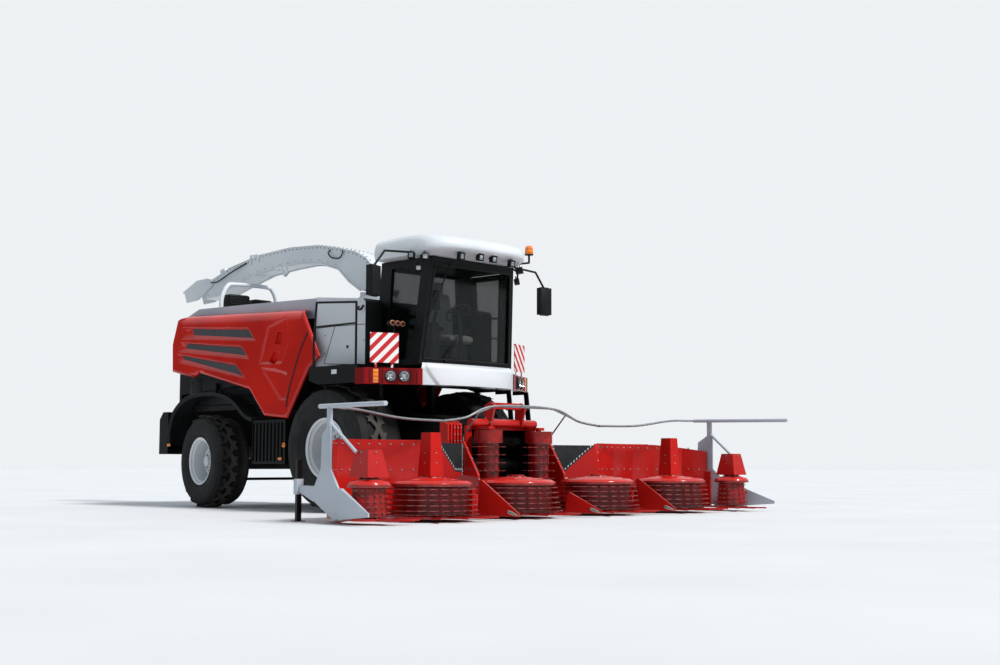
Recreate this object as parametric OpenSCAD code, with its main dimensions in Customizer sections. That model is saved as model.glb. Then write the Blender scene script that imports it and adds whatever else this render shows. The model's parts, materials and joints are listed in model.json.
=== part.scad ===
/* [Wheels] */
// Wheelbase, front axle to rear axle
wheel_base = 3265; // [3100:5:3500]
// Front tyre outer diameter
front_tyre_d = 1850; // [1750:10:1900]
// Front tyre width
front_tyre_w = 800; // [700:10:820]
// Track of the front wheels, centre to centre
front_track = 2400; // [2380:10:2500]
// Rear tyre outer diameter
rear_tyre_d = 1490; // [1400:10:1500]
// Rear tyre width
rear_tyre_w = 600; // [540:10:620]
// Track of the rear wheels, centre to centre
rear_track = 2320; // [2300:10:2400]
// Height of the tread lugs
lug_h = 42; // [30:1:50]
// Distance of each steering pin inboard of the wheel's middle
king_inset = 350; // [340:5:370]
// Angle at which the rear wheels are parked
steer_rest = -8; // [-12:1:12]

/* [Frame] */
// Height of the rails
rail_h = 200; // [160:10:240]
// Height of the rails' underside above the ground
rail_z = 800; // [780:5:860]
// Outer half width over the two rails
rail_x = 330; // [300:5:340]
// Thickness of a rail
rail_t = 60; // [40:5:80]

/* [Body] */
// Half width over the red side panels
panel_x = 1450; // [1420:5:1480]
// Thickness of a side panel
panel_t = 40; // [30:1:60]
// Half width of the hood between the panels
hood_x = 1200; // [1150:5:1230]
// Height of the hood's top at the front
hood_z = 3200; // [3150:5:3260]
// Half width of the white cowl
cowl_x = 1300; // [1250:5:1350]
// Length of the white cowl
cowl_l = 1130; // [1000:5:1200]
// Wall of the sheet metal body
skin_t = 25; // [15:1:40]

/* [Cab] */
// Half width of the cab at the sill
cab_x = 950; // [900:5:980]
// Half width of the cab under the roof
cab_top_x = 840; // [800:5:900]
// Height of the cab floor
cab_floor_z = 2110; // [2080:5:2160]
// Height of the roof's underside
cab_roof_z = 3660; // [3600:5:3720]
// Depth of the cab from its rear wall to the windscreen's foot
cab_l = 940; // [880:5:1000]
// Thickness of posts and door
post_t = 60; // [45:1:70]
// Thickness of the glass
glass_t = 6; // [5:1:8]
// Thickness of the cab's roof moulding
roof_h = 340; // [300:5:380]

/* [Spout] */
// Width of the discharge spout
spout_w = 330; // [280:5:380]
// Wall of the discharge spout
spout_t = 12; // [8:1:20]
// Radius of the slewing ring
ring_r = 330; // [300:5:360]

/* [Header] */
// Distance from the middle to the inner drums
drum_x = 832; // [825:1:840]
// Spacing from the inner to the next drums
drum_gap = 1600; // [1590:5:1620]
// Distance from the front axle forward to the inner drums
drum_y = 3117; // [3100:1:3140]
// Radius of a drum's rolled rim
rim_r = 530; // [500:5:540]
// Radius over a drum's teeth
tooth_r = 600; // [580:5:605]
// Height of a drum's rim
rim_z = 460; // [440:5:480]
// Distance from the middle to the end drums
end_drum_x = 3657; // [3640:1:3670]
// Rim radius of an end drum
end_rim_r = 262; // [250:2:264]
// Distance from the middle to the fold hinges
fold_x = 1630; // [1620:5:1640]
// Height of the fold hinges
fold_z = 360; // [340:5:380]
// Height of the header's back wall
wall_z = 1020; // [980:5:1060]
// Thickness of the header's sheet metal
sheet_t = 12; // [8:1:16]
// Distance from the middle to the end plates
end_x = 3815; // [3800:5:3830]
// Height of the top of the end posts
post_z = 1370; // [1340:5:1400]
// Radius of the guard tubes
guard_r = 28; // [22:1:32]

/* [Clearances] */
// Gap between pieces that fit into each other
fit_gap = 0.3; // [0.2:0.1:0.6]
// Gap between moving pieces
move_gap = 12; // [8:1:20]

/* [Hidden] */
$fn = 48;

// All modules work from the front axle, with the machine's front towards -Y.
// The spout's end and the guard tubes' ends give the machine's length, and its middle is the origin.
spout_end_y = 5830;
tip_y = -3930;
tube_foot = [3772, -2650, post_z + 24];
tube_end = [4070, -4180, post_z + 10];
tube_v = tube_end - tube_foot;
front_reach = tube_end[1] - guard_r * norm([tube_v[0], tube_v[2]]) / norm(tube_v);
frame_shift = -(spout_end_y + front_reach) / 2;
front_z = front_tyre_d / 2;
rear_z = rear_tyre_d / 2;
front_rim_r = 420;
rear_rim_r = 358;
front_hub_x = front_track / 2 + 110;
rear_hub_x = rear_track / 2 + 60;

module place() translate([0, frame_shift, 0]) children();

module both() {
    children();
    mirror([1, 0, 0]) children();
}

// Cylinder along X, centred
module rod_x(r, l) rotate([0, 90, 0]) cylinder(r = r, h = l, center = true);

// Cylinder along X from x0 to x1 on one side
module span_x(side, x0, x1, r) translate([side * (x0 + x1) / 2, 0, 0]) rod_x(r, x1 - x0);

// Side profile in (y, z), extruded from x0 to x1
module slab(x0, x1, pts) translate([x0, 0, 0]) rotate([90, 0, 90]) linear_extrude(x1 - x0) polygon(pts);

// Plan outline in (x, y), extruded from z0 to z1
module plate(z0, z1, pts) translate([0, 0, z0]) linear_extrude(z1 - z0) polygon(pts);

// Round bar from p to q
module bar(p, q, r) {
    v = q - p;
    translate(p) rotate([0, acos(v[2] / norm(v)), atan2(v[1], v[0])]) cylinder(r = r, h = norm(v));
}

// Bent tube through a list of points
module bent(pts, r) {
    for (i = [0:len(pts) - 2]) bar(pts[i], pts[i + 1], r);
    for (i = [1:len(pts) - 2]) translate(pts[i]) sphere(r = r * 1.03, $fn = 24);
}

// Box given by its two corners
module block(a, b) translate(a) cube(b - a);

// Tyre with its axis along X: the carcass is revolved, the lugs follow the tread circle
function carcass(r_in, r, w) = [
    [r_in, -0.38 * w], [r_in + 40, -0.43 * w], [r_in + 0.35 * (r - r_in), -0.5 * w],
    [r_in + 0.62 * (r - r_in), -0.5 * w], [r - 1.9 * lug_h, -0.46 * w], [r - lug_h, -0.35 * w],
    [r - lug_h, 0.35 * w], [r - 1.9 * lug_h, 0.46 * w], [r_in + 0.62 * (r - r_in), 0.5 * w],
    [r_in + 0.35 * (r - r_in), 0.5 * w], [r_in + 40, 0.43 * w], [r_in, 0.38 * w]];

module tyre(d, w, r_in, count) {
    r = d / 2;
    pitch = 360 / count;
    step = r * pitch * PI / 180;
    color([0.06, 0.06, 0.065]) rotate([0, 90, 0]) {
        rotate_extrude($fn = 60) polygon(carcass(r_in, r, w));
        intersection() {
            cylinder(r = r, h = w * 0.97, center = true, $fn = 60);
            for (i = [0:count - 1], s = [-1, 1])
                rotate([0, 0, (i + s / 4) * pitch + 180]) rotate([90, 0, 0]) rotate([0, 90, 0])
                    translate([0, 0, r - 2.2 * lug_h]) linear_extrude(3 * lug_h)
                        polygon([[s * -0.01 * w, -0.15 * step], [s * 0.22 * w, 0.1 * step],
                                 [s * 0.49 * w, 0.62 * step], [s * 0.49 * w, 0.92 * step],
                                 [s * 0.22 * w, 0.38 * step], [s * -0.01 * w, 0.15 * step]]);
        }
    }
}

// Rim with its axis along X: barrel with two flanges and a dished disc, outer side towards +X
// Room between a rim's seat and the tyre's many-sided bead
bead_gap = 0.9;
module rim(r, w, disc_x, hub_r) {
    color([0.87, 0.88, 0.88]) rotate([0, 90, 0]) difference() {
        rotate_extrude($fn = 60) polygon([
            [hub_r, disc_x - 10], [0.62 * r, disc_x - 10], [0.72 * r, disc_x - 90], [r - 75, disc_x - 90],
            [r - 40, -0.2 * w], [r - 40, -0.36 * w], [r - 14, -0.4 * w], [r - 14, -0.43 * w],
            [r + 25, -0.43 * w - 12], [r + 25, -0.43 * w - 2], [r - bead_gap, -0.38 * w - 2],
            [r - bead_gap, 0.38 * w + 2], [r + 25, 0.43 * w + 2], [r + 25, 0.43 * w + 12],
            [r - 14, 0.43 * w], [r - 14, 0.4 * w], [r - 40, 0.36 * w], [r - 55, disc_x - 68],
            [0.74 * r, disc_x - 68], [0.64 * r, disc_x + 14], [hub_r, disc_x + 14]]);
        for (a = [0:45:315]) rotate([0, 0, a]) translate([0.50 * r, 0, 0])
            cylinder(r = 12, h = 1000, center = true, $fn = 16);
    }
}

module tyre_front(side) place() translate([side * front_track / 2, 0, front_z])
    mirror([side < 0 ? 1 : 0, 0, 0])
    tyre(front_tyre_d, front_tyre_w, front_rim_r, 20);

module rim_front(side) place() translate([side * front_track / 2, 0, front_z])
    mirror([side < 0 ? 1 : 0, 0, 0]) rim(front_rim_r, front_tyre_w, front_hub_x - front_track / 2, 150);

king_x = rear_track / 2 - king_inset;

// Everything that steers turns about its own steering pin by the parked angle
module steered(side) place() translate([side * king_x, wheel_base, 0]) rotate([0, 0, steer_rest])
    translate([-side * king_x, 0, rear_z]) children();

module tyre_rear(side) steered(side) translate([side * rear_track / 2, 0, 0])
    mirror([side < 0 ? 1 : 0, 0, 0]) tyre(rear_tyre_d, rear_tyre_w, rear_rim_r, 18);

module rim_rear(side) steered(side) translate([side * rear_track / 2, 0, 0])
    mirror([side < 0 ? 1 : 0, 0, 0]) rim(rear_rim_r, rear_tyre_w, rear_hub_x - rear_track / 2, 110);

// Tie rod arms point forward, and the rod's eyes sit on pins at their ends
arm_l = 260;
arm_z = rear_z - 287;

module knuckle(side) color([0.13, 0.13, 0.14]) {
    steered(side) {
        span_x(side, king_x, rear_hub_x - 10 - fit_gap, 85);
        span_x(side, rear_hub_x - 75, rear_hub_x - 10 - fit_gap, 180);
        span_x(side, rear_hub_x - 40, rear_hub_x + 35, 110 - fit_gap);
        translate([side * king_x, 0, 0]) cylinder(r = 62, h = 200, center = true);
        for (z = [-150, 150]) translate([side * king_x, 0, z]) cylinder(r = 35, h = 110, center = true);
        translate([side * king_x, 0, -245]) cylinder(r = 35, h = 150);
        block([side * king_x - 40, -arm_l - 40, -245], [side * king_x + 40, 40, -205]);
        translate([side * king_x, -arm_l, -320]) cylinder(r = 22, h = 100);
    }
}

module tie_rod() place() color([0.16, 0.16, 0.17])
    translate([0, wheel_base, 0]) translate([sin(steer_rest) * arm_l, -cos(steer_rest) * arm_l, arm_z])
        difference() {
            union() {
                rod_x(22, 2 * king_x - 60);
                for (s = [-1, 1]) translate([s * king_x, 0, 0]) cylinder(r = 48, h = 56, center = true);
            }
            for (s = [-1, 1]) translate([s * king_x, 0, 0])
                cylinder(r = 22 + fit_gap, h = 80, center = true);
        }

module rear_axle() place() color([0.13, 0.13, 0.14]) translate([0, wheel_base, rear_z]) {
    difference() {
        union() {
            block([-king_x + 105, -90, -130], [king_x - 105, 90, 40]);
            for (s = [-1, 1], z = [-150, 150])
                block([s * king_x - 70, -70, z - 35], [s * king_x + 70, 70, z + 35]);
            for (s = [-1, 1]) block([s * (king_x - 105) - 40, -90, -185], [s * (king_x - 105) + 40, 90,
                185]);
        }
        for (s = [-1, 1]) translate([s * king_x, 0, 0]) cylinder(r = 35 + fit_gap, h = 500, center = true);
    }
    // Pendulum pin and its two bearing blocks, up to the frame rails
    rotate([90, 0, 0]) cylinder(r = 60, h = 520, center = true);
    for (s = [-1, 1]) block([-150, s * 200 - 40, -80], [150, s * 200 + 40, rail_z - rear_z]);
    for (s = [-1, 1]) block([-rail_x, s * 200 - 40, rail_z - rear_z - 60], [rail_x, s * 200 + 40,
        rail_z - rear_z]);
}

// Chassis rails with cross members, the drive axle with its final drives, and the tow hitch
chop_r = 430;
pivot_y = -650;
pivot_z = 1000;
rail_front = pivot_y + chop_r + 5;
rail_back = 4250;
body_back = rail_back + 80;
last_rung_y = rail_back - 60;
axle_r = 170;
post_x = 540;
post_y = 1010;
hitch_z = 700;
hub_end = front_hub_x - 10 - fit_gap;
lift_base_y = -100;
lift_base_z = 500;
lift_x = 515;
module axle_seat() translate([0, 0, front_z]) rod_x(axle_r + fit_gap, 4 * rail_x);
module frame() place() color([0.12, 0.12, 0.13]) {
    // Each member is a solid of its own, seated on the next
    difference() {
        union() {
            both() block([rail_x - rail_t, rail_front + 25, rail_z], [rail_x, rail_back, rail_z + rail_h]);
            block([-rail_x, rail_front, rail_z - 20], [rail_x, rail_front + 25, rail_z + rail_h + 40]);
        }
        axle_seat();
    }
    rung_x = rail_x - rail_t - fit_gap;
    for (y = [260, 1450, 2400, wheel_base, last_rung_y])
        block([-rung_x, y - 40, rail_z + 20], [rung_x, y + 40, rail_z + rail_h - 20]);
    // Drive axle with final drives and hubs
    translate([0, 0, front_z]) {
        rod_x(axle_r, front_track - 2 * front_tyre_w * 0.6);
        for (s = [-1, 1]) {
            span_x(s, front_track / 2 - 490, front_track / 2 - 410, 290);
            span_x(s, front_track / 2 - 420, hub_end, 240);
            span_x(s, hub_end - 10, front_hub_x + 55, 150 - fit_gap);
        }
    }
    both() {
        // Posts on the axle and on the first outrigger, up to the platform's beams
        difference() {
            block([post_x - 40, -60, front_z], [post_x + 40, 60, platform_z + 60]);
            axle_seat();
        }
        block([rail_x + fit_gap, post_y, rail_z + 40], [1149.7, post_y + 90, rail_z + 150]);
        block([post_x - 40, post_y, rail_z + 140], [post_x + 40, post_y + 90, platform_z + 60]);
        block([1070, post_y, rail_z + 140], [1149.7, post_y + 90, 2140]);
        // Lift cylinder lugs under the axle
        for (x = [lift_x - 75, lift_x + 40])
            block([x, lift_base_y - 60, lift_base_z - 50], [x + 35, lift_base_y + 60, front_z]);
        translate([lift_x, lift_base_y, lift_base_z]) rod_x(30, 150);
    }
    // Hitch clevis
    difference() {
        block([-90, last_rung_y + 40 + fit_gap, hitch_z - 30], [90, rail_back + 230, hitch_z + 150]);
        block([-100, rail_back + 60, hitch_z + 20], [100, rail_back + 300, hitch_z + 100]);
        translate([0, rail_back + 150, hitch_z - 100]) cylinder(r = 20, h = 400);
    }
}

// The engine, a plain mass of its real size, lies across the rails
module engine() place() color([0.3, 0.3, 0.32]) {
    block([-640, 2150, 1560], [640, 3050, 2650]);
    block([-rail_x, 2200, rail_z + rail_h], [rail_x, 2900, 1560]);
}

// Cutterhead housing round the feeder pivot, crop channel over the axle and accelerator shaft
chop_x = 430;
channel_x = 420;
channel_room = channel_x + 70;
module chopper() place() color([0.14, 0.14, 0.15]) {
    translate([0, pivot_y, pivot_z]) rod_x(chop_r, 2 * chop_x);
    translate([0, pivot_y, pivot_z]) rod_x(70, 2 * (feed_x + 45));
    slab(-channel_x, channel_x, [[pivot_y, pivot_z + 120], [220, front_z + 190], [900, 1320], [1080,
        1700], [1000, 2300],
                     [turret_y + ring_r + 10, 3080], [turret_y + ring_r + 10, turret_z + 30 - fit_gap],
                     [turret_y - ring_r - 10, turret_z + 30 - fit_gap], [turret_y - ring_r - 10, 2000],
                         [60, 1560],
                     [pivot_y, pivot_z + 400]]);
    slab(-rail_x, rail_x, [[pivot_y, rail_z - 20], [rail_front, rail_z - 20], [rail_front,
        rail_z + rail_h + 40],
                           [pivot_y, rail_z + rail_h + 40]]);
}

// Feeder house: a duct with open ends, whose ears turn on the cutterhead's trunnions
feed_x = 590;
feed_front = -2012;
module feeder_house() place() color([0.15, 0.15, 0.16]) {
    difference() {
        slab(-feed_x, feed_x, [[feed_front, 430], [feed_front, 1240], [-1300, 1400], [-760, 1440],
            [-760, 900], [-1000, 500]]);
        slab(-feed_x + 30, feed_x - 30, [[-2100, 500], [-2100, 1170], [-1300, 1330], [-600, 1370],
            [-600, 900], [-1010, 570]]);
        translate([0, pivot_y, pivot_z]) rod_x(chop_r + move_gap, 2 * feed_x + 20);
    }
    both() difference() {
        slab(feed_x - fit_gap, feed_x + 30, [[-1500, 600], [-1500, 1300], [pivot_y + 60, pivot_z + 150],
                                       [pivot_y + 130, pivot_z], [pivot_y + 60, pivot_z - 150]]);
        translate([0, pivot_y, pivot_z]) rod_x(70 + fit_gap, 3 * feed_x);
    }
    // Feed rollers across the duct
    for (p = [[-1800, 660], [-1800, 1030], [-1380, 720], [-1380, 1130]])
        translate([0, p[0], p[1]]) rod_x(150 - 20 * (p[1] > 1000 ? 0 : 1), 2 * feed_x - 60);
    // Lift cylinder ears
    both() difference() {
        for (x = [lift_x - 75, lift_x + 40])
            slab(x, x + 35, [[-1500, 500], [-1400, 290], [-1260, 290], [-1180, 560]]);
        translate([0, lift_rod_y, lift_rod_z]) rod_x(8, 3 * feed_x);
    }
    both() translate([lift_x, lift_rod_y, lift_rod_z]) rod_x(30 - lift_play, 150);
}

// Two lift cylinders from the frame's front to the feeder house
lift_play = 7;
lift_rod_y = -1330;
lift_rod_z = 350;
lift_a = atan2(lift_rod_z - lift_base_z, lift_rod_y - lift_base_y);
lift_l = norm([lift_rod_y - lift_base_y, lift_rod_z - lift_base_z]);
module along_lift() translate([0, lift_base_y, lift_base_z]) rotate([lift_a, 0, 0]) children();
module lift_barrels() place() color([0.1, 0.1, 0.11]) both() translate([lift_x, 0, 0]) along_lift() {
    difference() {
        union() {
            rotate([-90, 0, 0]) translate([0, 0, 75]) cylinder(r = 48, h = lift_l * 0.6);
            rotate([-90, 0, 0]) cylinder(r = 29, h = 80);
            rod_x(60, 60);
        }
        rod_x(30 + fit_gap, 200);
        rotate([-90, 0, 0]) translate([0, 0, 120]) cylinder(r = 34, h = lift_l);
    }
}
module lift_rods() place() color([0.75, 0.76, 0.78]) both() translate([lift_x, 0, 0]) along_lift()
    difference() {
        union() {
            rotate([-90, 0, 0]) translate([0, 0, lift_l * 0.45]) cylinder(r = 34 - fit_gap,
                h = lift_l * 0.55 - 30);
            translate([0, lift_l, 0]) rod_x(58, 60);
        }
        translate([0, lift_l, 0]) rod_x(30 + fit_gap, 200);
    }

// Cab: floor, sills, posts and rear wall in one welded frame with its windows cut
cab_back = -390;
cab_front = cab_back - cab_l;
lean = 150;
cab_tan = (cab_x - cab_top_x) / (cab_roof_z - cab_floor_z);
module cab_solid(inset) {
    // Sides lean inwards: a front view outline crossed with the side profile
    intersection() {
        slab(-cab_x - 10, cab_x + 10, [[cab_back - inset, cab_floor_z + inset], [cab_back - inset,
            cab_roof_z - inset],
                                       [cab_front - lean + inset, cab_roof_z - inset],
                                       [cab_front + inset, cab_floor_z + inset]]);
        translate([0, 100, 0]) rotate([90, 0, 0]) linear_extrude(3000)
            polygon([[-cab_x + inset, cab_floor_z], [cab_x - inset, cab_floor_z],
                     [cab_top_x - inset, cab_roof_z], [-cab_top_x + inset, cab_roof_z]]);
    }
}
win_lo = cab_floor_z + 90;
win_hi = cab_roof_z - 110;
back_win_lo = win_lo + 500;
door_back = -625;
door_front = cab_front + 190;
// Window outline of each side, in (y, z)
side_win = [[door_back, win_lo], [door_back, win_hi], [door_front - lean + 20, win_hi],
    [door_front - 10, win_lo]];
module side_cut(x0, x1, grow) slab(x0, x1, [
    [side_win[0][0] + grow, side_win[0][1] - grow], [side_win[1][0] + grow, side_win[1][1] + grow],
    [side_win[2][0] - grow, side_win[2][1] + grow], [side_win[3][0] - grow, side_win[3][1] - grow]]);
module front_cut(depth0, depth1, grow) rotate([90, 0, 0]) translate([0, 0, depth0])
    linear_extrude(depth1 - depth0)
    polygon([[-cab_x + 75 - grow, win_lo - grow], [cab_x - 75 + grow, win_lo - grow],
             [cab_top_x - 65 + grow, win_hi + grow], [-cab_top_x + 65 - grow, win_hi + grow]]);
module back_cut(grow) rotate([90, 0, 0]) linear_extrude(-cab_back + 100)
    polygon([[-700 + grow, back_win_lo + grow], [700 - grow, back_win_lo + grow],
             [660 - grow, win_hi - grow], [-660 + grow, win_hi - grow]]);
module cab_frame() place() color([0.08, 0.08, 0.085]) {
    difference() {
        cab_solid(0);
        cab_solid(post_t);
        side_cut(-cab_x - 50, -cab_top_x + 200, 0);
        side_cut(cab_top_x - 200, cab_x + 50, move_gap + 30);
        front_cut(-cab_front - 200, -cab_front + 400, 0);
        back_cut(0);
    }
    for (z = hinge_zs) at_hinge(z) difference() {
        union() {
            cylinder(r = 18, h = 40);
            block([-hinge_out - 20, 0, 0], [0, 60, 40]);
        }
        translate([0, 0, -10]) cylinder(r = 9 + fit_gap, h = 60);
    }
    // Cab mounts down to the platform
    for (x = [-post_x, post_x], y = [cab_back - 120, cab_front + 260])
        translate([x, y, platform_z + 240]) cylinder(r = 60, h = cab_floor_z - platform_z - 235);
}
module glass_skin() difference() {
    cab_solid(post_t / 2 - glass_t / 2);
    cab_solid(post_t / 2 + glass_t / 2);
}
module cab_glass() place() color([0.35, 0.45, 0.45, 0.4]) {
    intersection() {
        glass_skin();
        union() {
            side_cut(-cab_x - 50, -cab_top_x + 200, -fit_gap);
            front_cut(-cab_front - 200, -cab_front + 400, -fit_gap);
            back_cut(fit_gap);
        }
    }
}
// Door hinges lie in the gap behind the door and lean with the cab's side
hinge_zs = [cab_floor_z + 350, cab_floor_z + 1250];
hinge_out = 24;
module at_hinge(z) translate([cab_x - cab_tan * (z - cab_floor_z) + hinge_out, door_back + 34, z])
    rotate([0, -atan(cab_tan), 0]) children();
module cab_door() place() color([0.08, 0.08, 0.085]) {
    difference() {
        intersection() {
            difference() {
                cab_solid(0);
                cab_solid(post_t);
            }
            side_cut(cab_top_x - 200, cab_x + 50, 25);
        }
        side_cut(cab_top_x - 200, cab_x + 50, -55);
    }
    for (z = hinge_zs) at_hinge(z) {
        translate([0, 0, -40]) cylinder(r = 18, h = 40 - fit_gap);
        translate([0, 0, -20]) cylinder(r = 9, h = 60);
        block([-hinge_out - 20, -60, -40], [0, 0, -fit_gap]);
    }
}
module door_glass() place() color([0.35, 0.45, 0.45, 0.4]) intersection() {
    glass_skin();
    side_cut(cab_top_x - 200, cab_x + 50, -55 - fit_gap);
}
module cab_roof() place() color([0.93, 0.93, 0.92]) {
    slab(-900, 900, [[-250, cab_roof_z], [-200, cab_roof_z + 120], [-290, cab_roof_z + roof_h - 60],
        [-700, cab_roof_z + roof_h], [-1400, cab_roof_z + roof_h - 10], [-1760, cab_roof_z + 200],
        [-1830, cab_roof_z + 110], [-1780, cab_roof_z + 60], [-1500, cab_roof_z]]);
    both() slab(900, 1000, [[-330, cab_roof_z + 10], [-280, cab_roof_z + 120], [-350,
        cab_roof_z + roof_h - 130],
        [-700, cab_roof_z + roof_h - 80], [-1300, cab_roof_z + roof_h - 100], [-1560, cab_roof_z + 150],
        [-1600, cab_roof_z + 80], [-1450, cab_roof_z + 10]]);
}
// Seat, steering column and console inside the cab
module cab_interior() place() color([0.6, 0.61, 0.6]) {
    f = cab_floor_z + post_t;
    block([-230, -1000, f], [230, -700, f + 300]);
    block([-260, -1080, f + 300], [260, -620, f + 430]);
    slab(-250, 250, [[-660, f + 430], [-540, f + 1080], [-480, f + 1080], [-590, f + 430]]);
    block([-150, -560, f + 1080], [150, -500, f + 1290]);
    block([-480, -1100, f], [-300, -650, f + 620]);
    bent([[0, -1200, f], [0, -1200, f + 500], [0, -1140, f + 760]], 32);
    translate([0, -1140, f + 760]) rotate([-35, 0, 0]) difference() {
        cylinder(r = 190, h = 28);
        translate([0, 0, -1]) cylinder(r = 160, h = 40);
    }
    translate([0, -1140, f + 760]) rotate([-35, 0, 0]) block([-170, -20, 4], [170, 20, 22]);
}

// Front apron under the windscreen and the swept lamp panels beside it
lamp_lo = 1820;
lamp_hi = 2050;
apron_x = 944;
apron_y = -1410;
wing_tip_x = 1680;
wing_tip_y = -990;
module apron() place() color([0.93, 0.93, 0.92]) difference() {
    hull() {
        plate(lamp_lo, lamp_lo + 10, [[-apron_x, -1300], [-apron_x, apron_y], [-600, -1530], [0, -1580],
                                      [600, -1530], [apron_x, apron_y], [apron_x, -1300]]);
        plate(lamp_hi, lamp_hi + 10, [[-apron_x, -1300], [-apron_x, apron_y], [-600, -1500], [0, -1540],
                                      [600, -1500], [apron_x, apron_y], [apron_x, -1300]]);
        plate(cab_floor_z + 20, cab_floor_z + 30, [[-apron_x + 40, -1345], [-apron_x + 40, -1380], [0,
            -1440],
                                         [apron_x - 40, -1380], [apron_x - 40, -1345]]);
    }
    block([-apron_x + 30, -1380, lamp_lo - 10], [apron_x - 30, -1200, lamp_hi - 20]);
    block([-apron_x - 60, -1345, cab_floor_z - 60], [apron_x + 60, -1200, cab_floor_z + 200]);
}
module lamp_panels() place() color([0.6, 0.03, 0.05]) both() difference() {
    plate(lamp_lo, lamp_hi, [[apron_x + fit_gap, -1300], [apron_x + fit_gap, apron_y + 2], [wing_tip_x,
        wing_tip_y],
                             [wing_tip_x, wing_tip_y + 190], [wing_tip_x - 70, wing_tip_y + 190]]);
    // Two round lamp pockets
    for (t = [0.32, 0.55]) lamp_at(t, 75, 60);
}
lamp_turn = atan2(wing_tip_y - apron_y, wing_tip_x - apron_x);
module lamp_at(t, r, depth)
    translate([apron_x + t * (wing_tip_x - apron_x), apron_y + t * (wing_tip_y - apron_y),
        (lamp_lo + lamp_hi) / 2])
        rotate([0, 0, lamp_turn]) rotate([-90, 0, 0]) translate([0, 0, -5]) cylinder(r = r, h = depth + 5);
board = 424;
module warning_boards() place() color([0.85, 0.12, 0.1]) both()
    translate([1387, -1088, lamp_hi + 74]) rotate([0, 0, 22]) {
        block([-board / 2, -6, 0], [board / 2, 6, board]);
        for (x = [-120, 120]) block([x - 15, 6, -74], [x + 15, 18, board - 60]);
    }

// Work lamps under the roof, headlamps, rear lamps and the beacon
module lamps() place() color([0.8, 0.8, 0.78]) {
    both() for (t = [0.32, 0.55]) lamp_at(t, 75 - fit_gap, 60 - fit_gap);
    lamp_roof = cab_roof_z + 29.6;
    for (x = [-640, -330, 330, 640]) {
        translate([x, -1640, cab_roof_z - 70]) rotate([80, 0, 0]) cylinder(r = 55, h = 80);
        block([x - 12, -1690, cab_roof_z - 60], [x + 12, -1640, lamp_roof]);
    }
    both() translate([965, -1000, cab_roof_z - 38]) rotate([80, 0, 60]) cylinder(r = 36, h = 70);
    both() block([940, -1015, cab_roof_z - 32], [965, -985, cab_roof_z + 9.8]);
    // Beacon on its stalk
    translate([1040, -1500, cab_roof_z + 110]) cylinder(r = 16, h = 120);
    block([1000, -1512, cab_roof_z + 96], [1056, -1488, cab_roof_z + 112]);
    translate([1040, -1500, cab_roof_z + 230]) cylinder(r1 = 62, r2 = 52, h = 130);
    // Rear lamps
    both() block([1090, bumper_back, 1060], [1250, bumper_back + 30, 1180]);
}

// Walkway over the front wheels with its side skirts and the boxes behind the wheels
platform_z = 1850;
platform_x = 1640;
platform_front = -800;
platform_back = 285;
box_back = 1930;
deck_z = platform_z + 240;
module platform() place() color([0.09, 0.09, 0.1]) difference() {
    union() {
        block([-platform_x, platform_front, deck_z], [platform_x, platform_back, deck_z + 22]);
        both() {
            block([post_x - 40, -1180, platform_z + 60], [post_x + 40, 1400, deck_z]);
            block([post_x - 40, -1290, platform_z + 60], [post_x + 40, -1180, lamp_hi - 20]);
            slab(platform_x - 20, platform_x, [[platform_front, platform_z], [platform_front, deck_z],
                [platform_back, deck_z], [platform_back, platform_z + 60], [platform_back - 200,
                    platform_z]]);
            block([post_x, platform_front, platform_z], [platform_x, platform_front + 30, deck_z]);
            block([post_x, platform_back - 30, platform_z + 60], [platform_x, platform_back, deck_z]);
            block([900, post_y + 90, 700], [1430, box_back, 1370]);
        }
    }
    // Room for the cab, the crop channel and the ribs of the side boxes
    block([-cab_x - 12, -900, deck_z - 1], [cab_x + 12, cab_back + 12, deck_z + 40]);
    block([-channel_room, turret_y - ring_r - 22, 1800], [channel_room, 1200, deck_z + 40]);
    both() for (y = [1150:90:1900]) block([1410, y, 740], [1440, y + 50, 1330]);
}
// Steps to the cab door, hung from the deck in front of the left wheel
module ladder() place() color([0.07, 0.07, 0.075]) {
    for (x = [1180, 1570]) {
        slab(x, x + 25, [[platform_front, lamp_lo - fit_gap], [-1085, lamp_lo - fit_gap], [-1255, 520],
            [-1155, 520],
                         [-1010, 1780], [platform_front + 29, 1780], [platform_front + 29,
                             platform_z - fit_gap],
                         [platform_front + fit_gap, platform_z - fit_gap]]);
    }
    for (k = [0:3]) block([1200, -1250 + 38 * k, 540 + 330 * k], [1580, -1060 + 28 * k, 565 + 330 * k]);
}
module rails_and_mirrors() place() color([0.05, 0.05, 0.055]) {
    both() {
        bent([[platform_x - 60, -700, deck_z + 22], [platform_x - 60, -700, 3000],
              [platform_x - 60, 200, 3060], [platform_x - 60, 255, 2500], [platform_x - 60, 255,
                  deck_z + 22]], 17);
        bar([platform_x - 60, -700, 2700], [platform_x - 60, 240, 2700], 14);
        // Mirror arm and housing
        bent([[1001.7, -1240, cab_roof_z + 60], [1560, -1270, cab_roof_z + 20], [1760, -1270, 3440]], 16);
        translate([1760, -1270, 3230]) rotate([0, 0, -12]) block([-110, -45, -200], [110, 45, 220]);
    }
}

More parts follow.
